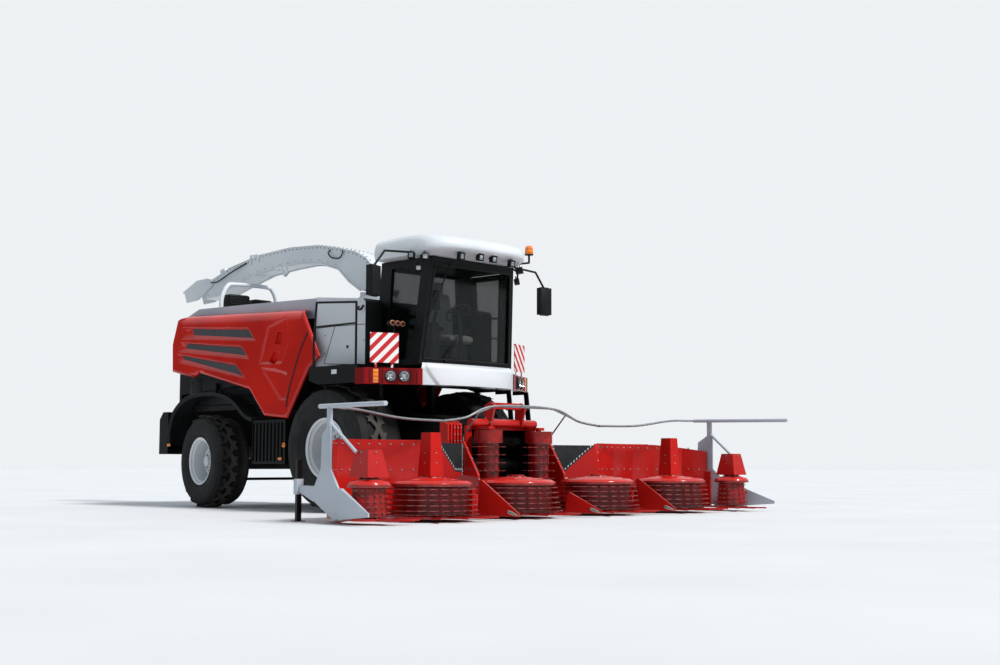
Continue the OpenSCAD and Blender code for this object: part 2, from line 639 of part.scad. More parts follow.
// White cowl behind the cab, open round the crop channel
cowl_front = -570;
cowl_back = cowl_front + cowl_l;
cowl_z = deck_z + 22;
module cowl() place() color([0.9, 0.91, 0.91]) difference() {
    slab(-cowl_x, cowl_x, [[cowl_front, cowl_z], [cowl_front, 3040], [-520, 3090],
                           [cowl_back, hood_z - 10], [cowl_back, cowl_z]]);
    slab(-cowl_x + skin_t, cowl_x - skin_t, [[cowl_front + skin_t, 2100], [cowl_front + skin_t,
        3040 - skin_t],
        [cowl_back - skin_t, hood_z - 10 - skin_t], [cowl_back - skin_t, 2100]]);
    block([-cab_x - 20, cowl_front - 10, 2000], [cab_x + 20, cab_back + 25, 3400]);
    block([-channel_room, 200, 2000], [channel_room, 700, 3400]);
}

// Red side panel: a lid with three louvre slots, hinged along its upper edge
panel_out = [[3842, 3136], [805, 3015], [693, 2972], [496, 2631], [300, 2290], [543, 2120], [1056, 1384],
             [1629, 1432], [2025, 1852], [3378, 2165], [3573, 2099], [4184, 2220], [4200, 2678], [4050,
                 3080]];
louvres = [[[3836, 2963], [2093, 2859], [1953, 2672], [3871, 2760]],
           [[3880, 2640], [2250, 2530], [2109, 2382], [3930, 2480]],
           [[3953, 2380], [2371, 2250], [2260, 2092], [3960, 2250]]];
// The hinge line follows the panel's sloping upper edge
hinge_slope = atan((panel_out[0][1] - panel_out[1][1]) / (panel_out[0][0] - panel_out[1][0]));
hinge_x = hood_x + 15;
hinge_z = panel_out[1][1] - 6;
module on_hinge(y) translate([hinge_x, y, hinge_z + (y - panel_out[1][0]) * tan(hinge_slope)])
    rotate([hinge_slope - 90, 0, 0]) children();
lid_hinges = [1200, 3400];
module side_panel(side) place() color([0.78, 0.05, 0.04]) mirror([side < 0 ? 1 : 0, 0, 0]) {
    difference() {
        union() {
            slab(panel_x - panel_t, panel_x, panel_out);
            slab(hood_x + 14, panel_x - panel_t, [[3800, 3100], [820, 2985], [820, 3010], [3800, 3130]]);
        }
        for (l = louvres) slab(panel_x - panel_t / 2, panel_x + 10, l);
        for (y = lid_hinges) on_hinge(y) translate([0, 0, -36]) cylinder(r = 19, h = 42);
    }
    for (y = lid_hinges) on_hinge(y) {
        translate([0, 0, 8]) cylinder(r = 13, h = 40);
        translate([0, 0, -34]) cylinder(r = 6, h = 50);
    }
}

// Grey hood between the panels
hood_lo = 2895;
module hood() place() color([0.72, 0.75, 0.78]) {
    both() for (y = lid_hinges) on_hinge(y) difference() {
        translate([0, 0, -34]) cylinder(r = 16, h = 38);
        translate([0, 0, -40]) cylinder(r = 6 + fit_gap, h = 60);
    }
    difference() {
        slab(-hood_x, hood_x, [[cowl_back, hood_lo], [cowl_back, hood_z - 8], [2289, hood_z + 34],
                               [3783, hood_z + 60], [4150, hood_z - 60], [body_back, hood_lo]]);
        slab(-hood_x + skin_t, hood_x - skin_t, [[cowl_back - 10, hood_lo - 90],
            [cowl_back - 10, hood_z - 8 - skin_t], [2289, hood_z + 34 - skin_t], [3783,
                hood_z + 60 - skin_t],
            [4130, hood_z - 60 - skin_t], [body_back - 40, hood_lo - 10], [body_back - 30, hood_lo - 90]]);
        for (i = [0:9]) block([-900, 1500 + i * 190, hood_z - 60], [900, 1590 + i * 190, hood_z + 200]);
        block([-channel_room, 500, hood_lo - 50], [channel_room, 1000, 3400]);
    }
}

// Rear body: side walls behind the panels, the rear grille and the bumper
wall_x = 1150;
bumper_lo = 860;
bumper_hi = 1000;
bumper_back = 4585;
module rear_body() place() color([0.08, 0.08, 0.085]) {
    both() slab(wall_x, wall_x + 40, [[600, 2140], [600, hood_lo], [body_back, hood_lo], [body_back,
        bumper_hi],
        [body_back - 65, bumper_hi], [body_back - 65, 1850], [1700, 1990], [1500, 1850], [1500, 1700],
        [1000, 1700], [1000, 2140]]);
    difference() {
        block([-wall_x, rail_back, bumper_hi - 20], [wall_x, body_back, hood_lo]);
        for (i = [0:11]) block([-950, rail_back - 50, 1900 + i * 78], [950, body_back + 70, 1938 + i * 78]);
    }
    // Bumper with corner boxes
    block([-wall_x - 30, body_back - 20, bumper_lo], [wall_x + 30, bumper_back, bumper_hi]);
    both() slab(1050, 1400, [[body_back, bumper_lo], [body_back, 1560], [bumper_back - 105, 1560],
                             [bumper_back, 1440], [bumper_back, bumper_lo]]);
}

// Mudguards over the rear wheels
module mudguards() place() color([0.1, 0.1, 0.11]) both() {
    slab(1130, 1455, [[box_back + fit_gap, 1345], [2160, 1420], [2480, 1640], [2800, 1755], [3250,
        1790], [3700, 1740],
        [4030, 1560], [4180, 1300], [4200, 1000], [4250, 1000], [4230, 1330], [4070, 1600], [3730, 1785],
        [3250, 1835], [2780, 1800], [2450, 1685], [2130, 1465], [box_back + fit_gap, 1395]]);
    block([1190, 3200, 1810], [1240, 3300, 2000]);
}

// Discharge spout: a turret that slews, an arch that lifts and a flap at its end
turret_y = 640;
turret_z = 3180;
spout_hinge_y = 385;
spout_hinge_z = 3420;
cyl_base_y = 860;
cyl_base_z = 3306;
cyl_play = 17;
cyl_x = spout_w / 2 + 60;
module spout_turret() place() color([0.88, 0.89, 0.9]) {
    difference() {
        union() {
            translate([0, turret_y, turret_z + 30]) cylinder(r = ring_r, h = 60);
            slab(-spout_w / 2, spout_w / 2, [[turret_y - 240, turret_z + 60], [turret_y + 260,
                turret_z + 60],
                [turret_y + 250, turret_z + 220], [turret_y - 190, turret_z + 180]]);
            both() slab(spout_w / 2 + 8, spout_w / 2 + 30, [[turret_y - 200, turret_z + 60],
                [spout_hinge_y - 35, spout_hinge_z - 20], [spout_hinge_y - 10, spout_hinge_z + 35],
                [spout_hinge_y + 40, spout_hinge_z + 10], [turret_y, turret_z + 140], [cyl_base_y - 20,
                    cyl_base_z + 35],
                [cyl_base_y + 35, cyl_base_z], [cyl_base_y, cyl_base_z - 35], [turret_y + 200,
                    turret_z + 60]]);
        }
        translate([0, turret_y, turret_z]) cylinder(r = spout_w / 2 - spout_t, h = 600);
        translate([0, spout_hinge_y, spout_hinge_z]) rod_x(20 + fit_gap, 600);
    }
    both() block([spout_w / 2 - 2, turret_y - 120, turret_z + 60], [spout_w / 2 + 10, turret_y + 120,
        turret_z + 120]);
    translate([cyl_x, cyl_base_y, cyl_base_z]) rod_x(18, 80);
}
// Stations of the arch: outer edge (y, z), then inner edge (y, z), and the hollow inside them
function inset(a) = let (v = [a[2] - a[0], a[3] - a[1]], u = v * spout_t / norm(v))
    [a[0] + u[0], a[1] + u[1], a[2] - u[0], a[3] - u[1]];
function outline(p) = concat([for (a = p) [a[0], a[1]]], [for (i = [len(p) - 1:-1:0]) [p[i][2], p[i][3]]]);
arch = [[390, 3425, 880, 3425], [430, 3640, 1150, 3585], [746, 3935, 1420, 3810], [1007, 4060, 1890, 3950],
        [1502, 4180, 2372, 4000], [1935, 4260, 2910, 3985], [2704, 4300, 3552, 3935], [3556, 4260,
            4300, 3770],
        [4446, 4120, 4780, 3650], [4960, 3960, 5150, 3625]];
flap_y = 4930;
flap_z = 3900;
cyl_rod_y = 1560;
cyl_rod_z = 3800;
cyl_pin_r = 12;
arch_in = concat([inset(arch[0] - [0, 40, 0, 40])], [for (a = arch) inset(a)],
                 [inset(arch[len(arch) - 1] + [60, -20, 60, -20])]);
module spout_arch() place() color([0.88, 0.89, 0.9]) difference() {
    union() {
        slab(-spout_w / 2, spout_w / 2, outline(arch));
        translate([0, spout_hinge_y, spout_hinge_z]) rod_x(34, spout_w - 4);
        slab(spout_w / 2 - 2, spout_w / 2 + 14, [[cyl_rod_y - 40, cyl_rod_z - 30], [cyl_rod_y - 80,
            cyl_rod_z + 70],
            [cyl_rod_y + 80, cyl_rod_z + 110], [cyl_rod_y + 40, cyl_rod_z - 30]]);
        translate([0, spout_hinge_y, spout_hinge_z]) rod_x(20, spout_w + 56);
        translate([0, flap_y, flap_z]) rod_x(14, spout_w + 50);
        translate([cyl_x - 10, cyl_rod_y, cyl_rod_z]) rod_x(cyl_pin_r, 110);
    }
    slab(-spout_w / 2 + spout_t, spout_w / 2 - spout_t, outline(arch_in));
}
module spout_flap() place() color([0.88, 0.89, 0.9]) {
    slab(-spout_w / 2 - 26, spout_w / 2 + 26, [[5060, 3990], [5400, 3975], [spout_end_y, 3800],
                                               [spout_end_y - 20, 3775], [5390, 3945], [5060, 3960]]);
    both() difference() {
        slab(spout_w / 2 + 8, spout_w / 2 + 26, [[flap_y - 45, flap_z + 30], [5060, 3990], [5400,
            3975], [5790, 3810],
                                         [5700, 3600], [5350, 3620], [flap_y - 30, flap_z - 45]]);
        translate([0, flap_y, flap_z]) rod_x(14 + fit_gap, 600);
    }
}

// Spout lift cylinder on the inner side of the arch
cyl_a = atan2(cyl_rod_z - cyl_base_z, cyl_rod_y - cyl_base_y);
cyl_l = norm([cyl_rod_y - cyl_base_y, cyl_rod_z - cyl_base_z]);
module along_cyl() translate([cyl_x + 10, cyl_base_y, cyl_base_z]) rotate([cyl_a, 0, 0]) children();
module spout_barrel() place() color([0.1, 0.1, 0.11]) along_cyl() difference() {
    union() {
        rotate([-90, 0, 0]) translate([0, 0, 25]) cylinder(r = 28, h = cyl_l * 0.66);
        rod_x(32, 36);
    }
    rod_x(18 + fit_gap, 100);
    rotate([-90, 0, 0]) translate([0, 0, 80]) cylinder(r = 16, h = cyl_l);
}
module spout_rod() place() color([0.75, 0.76, 0.78]) along_cyl() difference() {
    union() {
        rotate([-90, 0, 0]) translate([0, 0, cyl_l * 0.5]) cylinder(r = 16 - fit_gap, h = cyl_l * 0.5 - 20);
        translate([0, cyl_l, 0]) rod_x(42, 36);
    }
    // The eye has room for its pin's drift
    translate([0, cyl_l, 0]) rod_x(cyl_pin_r + cyl_play, 100);
}

end_drum_y = 3430;
mid_drum_y = 3174;
// Drums from the right: x, y, rim radius, tooth radius
drums = [[-end_drum_x, -end_drum_y, end_rim_r, end_rim_r + 2], [-drum_x - drum_gap, -mid_drum_y, rim_r,
    tooth_r],
         [-drum_x, -drum_y, rim_r, tooth_r], [drum_x, -drum_y, rim_r, tooth_r],
         [drum_x + drum_gap, -mid_drum_y, rim_r, tooth_r], [end_drum_x, -end_drum_y, end_rim_r,
             end_rim_r + 2]];
shaft_r = 90;
knife_z = 90;
// Toothed ring: a disc with hooked teeth round its edge
module toothed_ring(r_in, r_out, n, t) linear_extrude(t) difference() {
    polygon([for (i = [0:n - 1], k = [0:2]) let (a = (i + [0, 0.18, 0.85][k]) * 360 / n,
        r = [r_out, r_out, r_out - 55][k]) [r * cos(a), r * sin(a)]]);
    circle(r = r_in);
}
module drum(i) place() color([0.62, 0.03, 0.05]) translate([drums[i][0], drums[i][1], 0]) {
    r = drums[i][2];
    rt = drums[i][3];
    n = r > 400 ? 24 : 16;
    difference() {
        union() {
            // Drum body, dish and rolled rim
            rotate_extrude($fn = 60) polygon([[shaft_r, knife_z + 20], [r - 40, knife_z + 20], [r - 70,
                rim_z - 40],
                [r - 20, rim_z - 15], [r, rim_z - 25], [r, rim_z + 5], [r - 25, rim_z + 8],
                [r * 0.55, rim_z - 12], [shaft_r + 50, rim_z + 70], [shaft_r, rim_z + 70]]);
            for (z = [knife_z + 45 : 65 : rim_z - 60]) translate([0, 0, z]) toothed_ring(r - 100,
                rt - 0.15 * (z - 90), n, 10);
            translate([0, 0, knife_z]) toothed_ring(shaft_r, rt + 6, 2 * n, 6);
            translate([0, 0, knife_z + 5]) difference() {
                cylinder(r = r - 45, h = 18);
                translate([0, 0, -1]) cylinder(r = shaft_r, h = 30);
            }
        }
        translate([0, 0, -1]) cylinder(r = shaft_r + fit_gap, h = 1000);
    }
}

// Floor plate under the drums of a section, gear case and fixed centre column with its tower
module floor_plate(idx) for (i = idx) translate([drums[i][0], drums[i][1], 0]) {
    translate([0, 0, 45]) cylinder(r = drums[i][2] - 20, h = 30);
    translate([0, 0, 60]) cylinder(r = shaft_r, h = rim_z + 40);
}
module fingers(i, a0, a1, n) for (k = [0:n - 1]) let (a = a0 + (a1 - a0) * k / (n - 1), r = drums[i][2])
    translate([drums[i][0], drums[i][1], 0]) rotate([0, 0, a]) {
        translate([0, 0, 48]) linear_extrude(20)
            polygon([[r - 90, -70], [r + 330, -4], [r + 330, 4], [r - 90, 70]]);
    }
// Divider: a sloping wedge from its tall back to its tip at the ground
module divider(x, y_back, y_tip, z_top, half, x_tip) hull() {
    translate([x, y_back, 0]) block([-half, -20, 60], [half, 0, 75]);
    translate([x, y_back, 0]) block([-12, -40, z_top - 20], [12, 0, z_top]);
    translate([x_tip, y_tip, 70]) block([-8, 0, -20], [8, 30, 20]);
}
module tower(x, y, w0, w1, z0, z1) translate([x, y, 0]) hull() {
    translate([0, 0, z0]) cube([w0, w0, 2], center = true);
    translate([0, 0, z1]) cube([w1, w1, 2], center = true);
}

// Back wall of a section through its bend points (x, y), thick sheet_t
function wall_pts(p, t) = concat([for (q = p) q], [for (i = [len(p) - 1:-1:0]) [p[i][0], p[i][1] + t]]);
feed_drum_x = 512;
feed_drum_y = -2290;
hinge_ys = [-2440, -3090];
module header_frame() place() color([0.7, 0.04, 0.05]) {
    // Base beam, intake frame and floor
    block([-1540, -2470, 60], [1540, -2330, 240]);
    block([-feed_x - 120, -2350, 160], [feed_x + 120, feed_front, 430]);
    both() block([feed_x, -2042, 60], [feed_x + 120, feed_front, 1240]);
    both() block([feed_drum_x - 60, feed_drum_y - 60, 1185], [feed_drum_x + 60, feed_front, 1225]);
    block([-feed_x - 120, -2060, 1185], [feed_x + 120, feed_front, 1240]);
    translate([0, -2075, 1280]) rod_x(60, 1312);
    both() translate([feed_drum_x, feed_drum_y, 425]) cylinder(r = 40, h = 770);
    // Side plates beside the feed drums
    both() slab(860, 900, [[-2470, 60], [-2470, 560], [-2180, wall_z], [feed_front, wall_z],
        [feed_front, 60]]);
    both() block([700, -2042, 300], [880, feed_front, 1000]);
    // Triangular mast over the intake
    both() slab(300, 330, [[-2150, 1230], [-2230, 1530], [-2130, 1580], [-2020, 1530], [-2020, 1230]]);
    block([-330, -2160, 1480], [330, -2130, 1570]);
    // Gear case with ribs on the right
    for (k = [0:4]) translate([-1180 + k * 60, 0, 0])
        slab(0, 30, [[-2170, 980], [-2170, 1240], [-2080, 1300], [feed_front, 1300], [feed_front, 980]]);
    block([-1180, -2140, 960], [-880, -2030, 1260]);
    floor_plate([2, 3]);
    for (i = [2, 3]) translate([drums[i][0], drums[i][1], rim_z + 95]) cylinder(r = shaft_r + 20, h = 12);
    both() block([drum_x - 150, -drum_y, 50], [drum_x + 150, -2400, 75]);
    fingers(2, 225, 305, 4);
    fingers(3, 235, 315, 4);
    both() divider(fold_x - 25, -3220, tip_y + 20, 500, 60, fold_x - 25);
    both() block([fold_x - 95, -3240, 50], [fold_x - 30, -2400, 75]);
    both() block([1400, -2470, 50], [fold_x - 30, -2330, 110]);
    divider(0, -3300, -3900, 330, 60, 0);
    block([-60, -3310, 50], [60, -2400, 75]);
    // Fold hinge knuckles on their brackets
    for (s = [-1, 1], y = hinge_ys) {
        translate([s * fold_x, y, fold_z]) rotate([90, 0, 0]) difference() {
            cylinder(r = 36, h = 60, center = true);
            cylinder(r = 18 + fit_gap, h = 100, center = true);
        }
        block([s * (fold_x - 60) - 26, y - 30, 60], [s * (fold_x - 60) + 30, y + 30, fold_z + 10]);
    }
}
// Flexible sheet that closes the wall between the side plate and the wing
module rubber_sheet(side) place() color([0.1, 0.12, 0.13]) mirror([side < 0 ? 1 : 0, 0, 0])
    translate([903, -2180, 0]) rotate([0, 0, atan2(-2440 + 2180, fold_x + 50 - 900)]) rotate([90, 0, 0])
        linear_extrude(8) polygon([[0, 560], [750, 410], [750, wall_z - 35], [0, wall_z - 35]]);

// Wing of the header: floor, curved back wall, end drum's tower and dividers
wall_line = [[1690, -2400], [1900, -2300], [2300, -2200], [2820, -2165], [3200, -2280], [3560, -2560],
    [3770, -2900]];
end_toe = 13.9;
module at_end() translate([end_x, -2900, 0]) rotate([0, 0, end_toe]) children();
module wing() {
    block([fold_x + 60, -2460, 60], [fold_x + 260, -2330, 240]);
    plate(60, 600, wall_pts(wall_line, sheet_t * 2));
    difference() {
        plate(600, wall_z, wall_pts(wall_line, sheet_t));
        slab(3100, 3900, [[-3000, wall_z - 130], [-3000, wall_z + 10], [-2000, wall_z + 10], [-2300,
            wall_z - 10]]);
    }
    plate(60, 120, [[fold_x + 60, -2440], [1900, -2310], [2300, -2210], [2820, -2175], [3200, -2290],
        [3560, -2570],
                    [3770, -2910], [3640, -3000], [3450, -2740], [3150, -2500], [2820, -2400], [2300,
                        -2420], [fold_x + 60, -2560]]);
    at_end() block([-60, -40, 60], [-fit_gap, 60, 600]);
    floor_plate([4, 5]);
    block([drum_x + drum_gap - 150, -mid_drum_y, 50], [drum_x + drum_gap + 150, -2300, 75]);
    plate(50, 75, [[end_drum_x - 120, -end_drum_y], [end_drum_x + 120, -end_drum_y], [end_drum_x + 80,
        -2850], [end_drum_x - 160, -2850]]);
    fingers(4, 235, 305, 4);
    fingers(5, 225, 275, 3);
    tower(drum_x + drum_gap, -mid_drum_y, 230, 170, rim_z + 90, 1095);
    tower(end_drum_x, -end_drum_y, 330, 210, rim_z + 90, 870);
    for (i = [4, 5]) translate([drums[i][0], drums[i][1], rim_z + 75]) cylinder(r = shaft_r - 5, h = 20);
    // Fold pins in their knuckles, behind the frame's
    for (y = hinge_ys) {
        translate([fold_x, y - 92, fold_z]) rotate([-90, 0, 0]) cylinder(r = 18, h = 122);
        translate([fold_x, y - 62, fold_z]) rotate([90, 0, 0]) cylinder(r = 36, h = 60, center = true);
        block([fold_x + 20, y - 92, 60], [fold_x + 80, y - 32, fold_z + 20]);
    }
    block([fold_x + 60, -3182, 50], [fold_x + 100, -2450, 75]);
    block([fold_x + 60, -2560, 50], [fold_x + 300, -2440, 75]);
}
module wing_left() place() color([0.78, 0.05, 0.04]) wing();
module wing_right() place() color([0.78, 0.05, 0.04]) mirror([1, 0, 0]) wing();

// End plate with its post, the guard tube, the brace and the thin bent bar
socket_y = 865;
leg = 30;
module guard() {
    at_end() {
        slab(0, 26, [[200, 640], [180, 1050], [20, 1160], [-60, 1160], [-60, 640], [-420, 280], [-360, 90],
                     [-180, 40], [500, 300]]);
        block([-9, -45, 1000], [35, 25, post_z]);
        translate([4, -10, post_z - 20]) cylinder(r = 22, h = 40);
        slab(0, 26, [[200, 440], [socket_y - leg - 15, 440], [socket_y - leg - 15, 360], [400, 250]]);
        difference() {
            block([13 - leg - 16, socket_y - leg - 16, 330], [13 + leg + 16, socket_y + leg + 16, 520]);
            block([13 - leg - fit_gap, socket_y - leg - fit_gap, 300], [13 + leg + fit_gap,
                socket_y + leg + fit_gap, 600]);
        }
        hull() {
            block([0, -380, 60], [50, -340, 420]);
            block([5, -1060, 110], [21, -1040, 150]);
        }
    }
    bar(tube_foot, tube_end, guard_r);
    bar([end_x + 5, -2930, 1180], [end_drum_x + 134, -end_drum_y + 75, 840], 20);
    // Its inner end laps in front of the middle guard, which it passes as the wing folds
    bent([tube_foot, [3200, -2600, post_z + 10], [2400, -2580, 1290],
        [fold_x + 20, -2540, 1272]], 11);
}
module guard_left() place() color([0.82, 0.84, 0.85]) guard();
module guard_right() place() color([0.82, 0.84, 0.85]) mirror([1, 0, 0]) guard();
module guard_centre() place() color([0.55, 0.56, 0.57]) {
    bent([[-fold_x + 20, -2500, 1270], [-1150, -2490, 1330], [-600, -2480, 1495], [600, -2480, 1495],
          [1150, -2490, 1330], [fold_x - 20, -2500, 1270]], 11);
    both() bent([[880, -2165, wall_z + fit_gap], [880, -2165, wall_z + 60], [880, -2485, 1411]], 11);
}

// Parking stand that slides in its socket on the wing
module stand(side) place() color([0.05, 0.05, 0.055]) mirror([side < 0 ? 1 : 0, 0, 0]) at_end()
    translate([13, socket_y, 0]) {
        block([-leg, -leg, 8], [leg, leg, 760]);
        block([-70, -70, 0], [70, 70, 8]);
    }

module feed_drum(side) place() color([0.66, 0.03, 0.05]) translate([side * feed_drum_x, feed_drum_y,
    0]) difference() {
    union() {
        translate([0, 0, 470]) cylinder(r = 150, h = 700);
        translate([0, 0, 1000]) cylinder(r = 200, h = 170);
        for (z = [500:110:960]) translate([0, 0, z]) toothed_ring(100, 235, 14, 10);
    }
    translate([0, 0, 400]) cylinder(r = 40 + fit_gap, h = 900);
}

frame();
engine();
chopper();
rear_axle();
knuckle(1);  // knuckle_left
knuckle(-1);  // knuckle_right
tie_rod();
tyre_front(1);  // tyre_front_left
tyre_front(-1);  // tyre_front_right
tyre_rear(1);  // tyre_rear_left
tyre_rear(-1);  // tyre_rear_right
rim_front(1);  // rim_front_left
rim_front(-1);  // rim_front_right
rim_rear(1);  // rim_rear_left
rim_rear(-1);  // rim_rear_right
cab_frame();
cab_roof();
cab_glass();
cab_door();
door_glass();
cab_interior();
rails_and_mirrors();
lamps();
apron();
lamp_panels();
warning_boards();
cowl();
platform();
ladder();
side_panel(1);  // side_panel_left
side_panel(-1);  // side_panel_right
hood();
rear_body();
mudguards();
spout_turret();
spout_arch();
spout_flap();
spout_barrel();
spout_rod();
feeder_house();
lift_barrels();
lift_rods();
header_frame();
rubber_sheet(1);  // rubber_sheet_left
rubber_sheet(-1);  // rubber_sheet_right
guard_centre();
wing_left();
wing_right();
guard_left();
guard_right();
stand(1);  // stand_left
stand(-1);  // stand_right
drum(0);  // drum_1
drum(1);  // drum_2
drum(2);  // drum_3
drum(3);  // drum_4
drum(4);  // drum_5
drum(5);  // drum_6
feed_drum(1);  // feed_drum_left
feed_drum(-1);  // feed_drum_right
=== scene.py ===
# %% [markdown]
# # A forage harvester with its folding maize header
# We dress a machine whose every moving part already exists as a fixed model.
# %% Load the fixed model
import bpy, bmesh, json, math
from mathutils import Matrix, Vector
from mathutils.geometry import delaunay_2d_cdt


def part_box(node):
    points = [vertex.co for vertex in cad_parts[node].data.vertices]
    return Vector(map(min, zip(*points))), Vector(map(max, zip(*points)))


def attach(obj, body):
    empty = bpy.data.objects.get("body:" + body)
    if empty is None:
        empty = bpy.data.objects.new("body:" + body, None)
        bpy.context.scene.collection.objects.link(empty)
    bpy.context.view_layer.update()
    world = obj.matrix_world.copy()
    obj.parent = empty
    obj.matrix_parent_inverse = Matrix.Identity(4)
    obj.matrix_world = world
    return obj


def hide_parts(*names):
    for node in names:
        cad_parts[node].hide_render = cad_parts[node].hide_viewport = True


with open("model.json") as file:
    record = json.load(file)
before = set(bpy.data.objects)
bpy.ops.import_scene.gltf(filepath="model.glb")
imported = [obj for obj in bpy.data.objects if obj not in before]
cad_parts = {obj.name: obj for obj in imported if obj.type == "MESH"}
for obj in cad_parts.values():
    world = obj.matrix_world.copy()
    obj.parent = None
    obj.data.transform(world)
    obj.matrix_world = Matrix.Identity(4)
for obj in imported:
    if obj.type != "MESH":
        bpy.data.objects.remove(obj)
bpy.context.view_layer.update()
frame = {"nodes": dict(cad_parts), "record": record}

# %% [markdown]
# Drawings of such a machine measure from the front axle, in millimetres, and so do we. The
# front rim is centred on that axle, so its box tells us where the axle lies in the model.
# %% Measure from the front axle
low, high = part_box("rim_front_left")
AXLE_Y = (low.y + high.y) / 2


def at(x, y, z):
    """A point in millimetres from the front axle, as a place in the model."""
    return Vector((x / 1000, y / 1000 + AXLE_Y, z / 1000))


print("front axle at y =", round(AXLE_Y, 4), "m")

# %% [markdown]
# Paint makers give colours as hex codes, which are sRGB, while Blender's shaders want linear
# light. One function does that step for every colour in this lesson.
# %% Colours from hex codes
def lin(code, alpha=1.0):
    parts = [int(code[i:i + 2], 16) / 255 for i in (1, 3, 5)]
    return tuple(c / 12.92 if c <= 0.04045 else ((c + 0.055) / 1.055) ** 2.4 for c in parts) + (alpha,)


print("signal red is", [round(c, 3) for c in lin("#B4201C")])

# %% [markdown]
# A material is a small graph. This function adds one node with its settings, and links any
# input that is given as another node's output. All the finishes below use it.
# %% One function for every shader node
def put(mat, kind, inputs=None, stops=None, **settings):
    n = mat.node_tree.nodes.new("ShaderNode" + kind)
    for key, value in settings.items():
        setattr(n, key, value)
    for key, value in (inputs or {}).items():
        if isinstance(value, bpy.types.NodeSocket):
            mat.node_tree.links.new(value, n.inputs[key])
        else:
            n.inputs[key].default_value = value
    for i, (place, colour) in enumerate(stops or []):
        e = n.color_ramp.elements[i] if i < 2 else n.color_ramp.elements.new(place)
        e.position = place
        e.color = lin(colour)
    return n


def feed(node, socket, source):
    node.id_data.links.new(source, node.inputs[socket])


def finish(name, roughness, metallic=0.0, ior=1.5, **more):
    """A material with its surface shader ready for colour and relief."""
    mat = bpy.data.materials.new(name)
    mat.use_nodes = True
    mat.node_tree.nodes.clear()
    plain = {"Roughness": roughness, "Metallic": metallic, "IOR": ior}
    skin = put(mat, "BsdfPrincipled", {**plain, **more})
    put(mat, "OutputMaterial", {"Surface": skin.outputs[0]})
    place = put(mat, "TexCoord").outputs["Object"]
    return mat, skin, place


print("node helper ready")

# %% [markdown]
# Most panels are sheet steel with a sprayed enamel: an even colour under a clear gloss, a
# fine orange peel, and field dust that settles on level faces. The peel is
# 2 mm in truth and is drawn at 30 mm here, or it would vanish in the picture.
# %% Sprayed enamel, in any colour
def enamel(name, colour, shade, roughness=0.3, gloss=0.5, dust=0.25, dust_colour="#8C7F6E", sheen=0.3):
    coat = {"Coat Weight": gloss, "Coat Roughness": 0.08, "Specular IOR Level": sheen}
    mat, skin, place = finish(name, roughness, **coat)
    cloud = put(mat, "TexNoise", {"Vector": place, "Scale": 1 / 0.9, "Detail": 3.0})
    tone = put(mat, "ValToRGB", {0: cloud.outputs[0]}, [(0.35, colour), (0.7, shade)])
    # Dust: more where a face looks up, and broken up by a 60 mm mottle
    up = put(mat, "SeparateXYZ", {0: put(mat, "NewGeometry").outputs["Normal"]})
    level = put(mat, "MapRange", {0: up.outputs[2], 1: 0.2, 2: 1.0, 3: 0.12, 4: 1.0})
    mottle = put(mat, "TexNoise", {"Vector": place, "Scale": 1 / 0.06, "Detail": 5.0, "Roughness": 0.7})
    grit = put(mat, "MapRange", {0: mottle.outputs[0], 1: 0.45, 2: 0.75})
    film = put(mat, "Math", {0: level.outputs[0], 1: grit.outputs[0]}, operation="MULTIPLY")
    film = put(mat, "Math", {0: film.outputs[0], 1: dust}, operation="MULTIPLY")
    mixed = put(mat, "Mix", {0: film.outputs[0], 6: tone.outputs[0], 7: lin(dust_colour)}, data_type="RGBA")
    feed(skin, "Base Color", mixed.outputs[2])
    rough = put(mat, "MapRange", {0: film.outputs[0], 1: 0.0, 2: 0.5, 3: roughness, 4: 0.75})
    feed(skin, "Roughness", rough.outputs[0])
    ripple = put(mat, "TexNoise", {"Vector": place, "Scale": 1 / 0.03, "Detail": 2.0})
    # Folded sheet has round edges, 8 mm here, which catch the light
    edges = put(mat, "Bevel", {"Radius": 0.008}, samples=4)
    relief = {"Strength": 0.06, "Distance": 0.004, "Height": ripple.outputs[0], "Normal": edges.outputs[0]}
    bump = put(mat, "Bump", relief)
    feed(skin, "Normal", bump.outputs[0])
    return mat


FIELD_DUST, DARK_DUST = "#A79F92", "#3A352F"
red_enamel = enamel("red_enamel_on_sheet_steel", "#C91A0B", "#AF140A", 0.2, 0.4, 0.04, sheen=0.2)
header_enamel = enamel("red_enamel_of_the_header", "#BE1B14", "#A51411", 0.24, 0.35, 0.08, sheen=0.25)
white_enamel = enamel("white_enamel", "#D8DBDD", "#CDD2D6", 0.3, 0.3, 0.12, FIELD_DUST)
grey_enamel = enamel("light_grey_enamel", "#B4BCC4", "#A7B0B9", 0.34, 0.2, 0.12, FIELD_DUST)
black_enamel = enamel("black_chassis_enamel", "#0B0C0D", "#060707", 0.4, 0.05, 0.14, DARK_DUST, 0.2)
rim_enamel = enamel("white_rim_enamel", "#D3D6D8", "#C2C7CA", 0.35, 0.3, 0.35, "#8E8373")
print("six enamels")

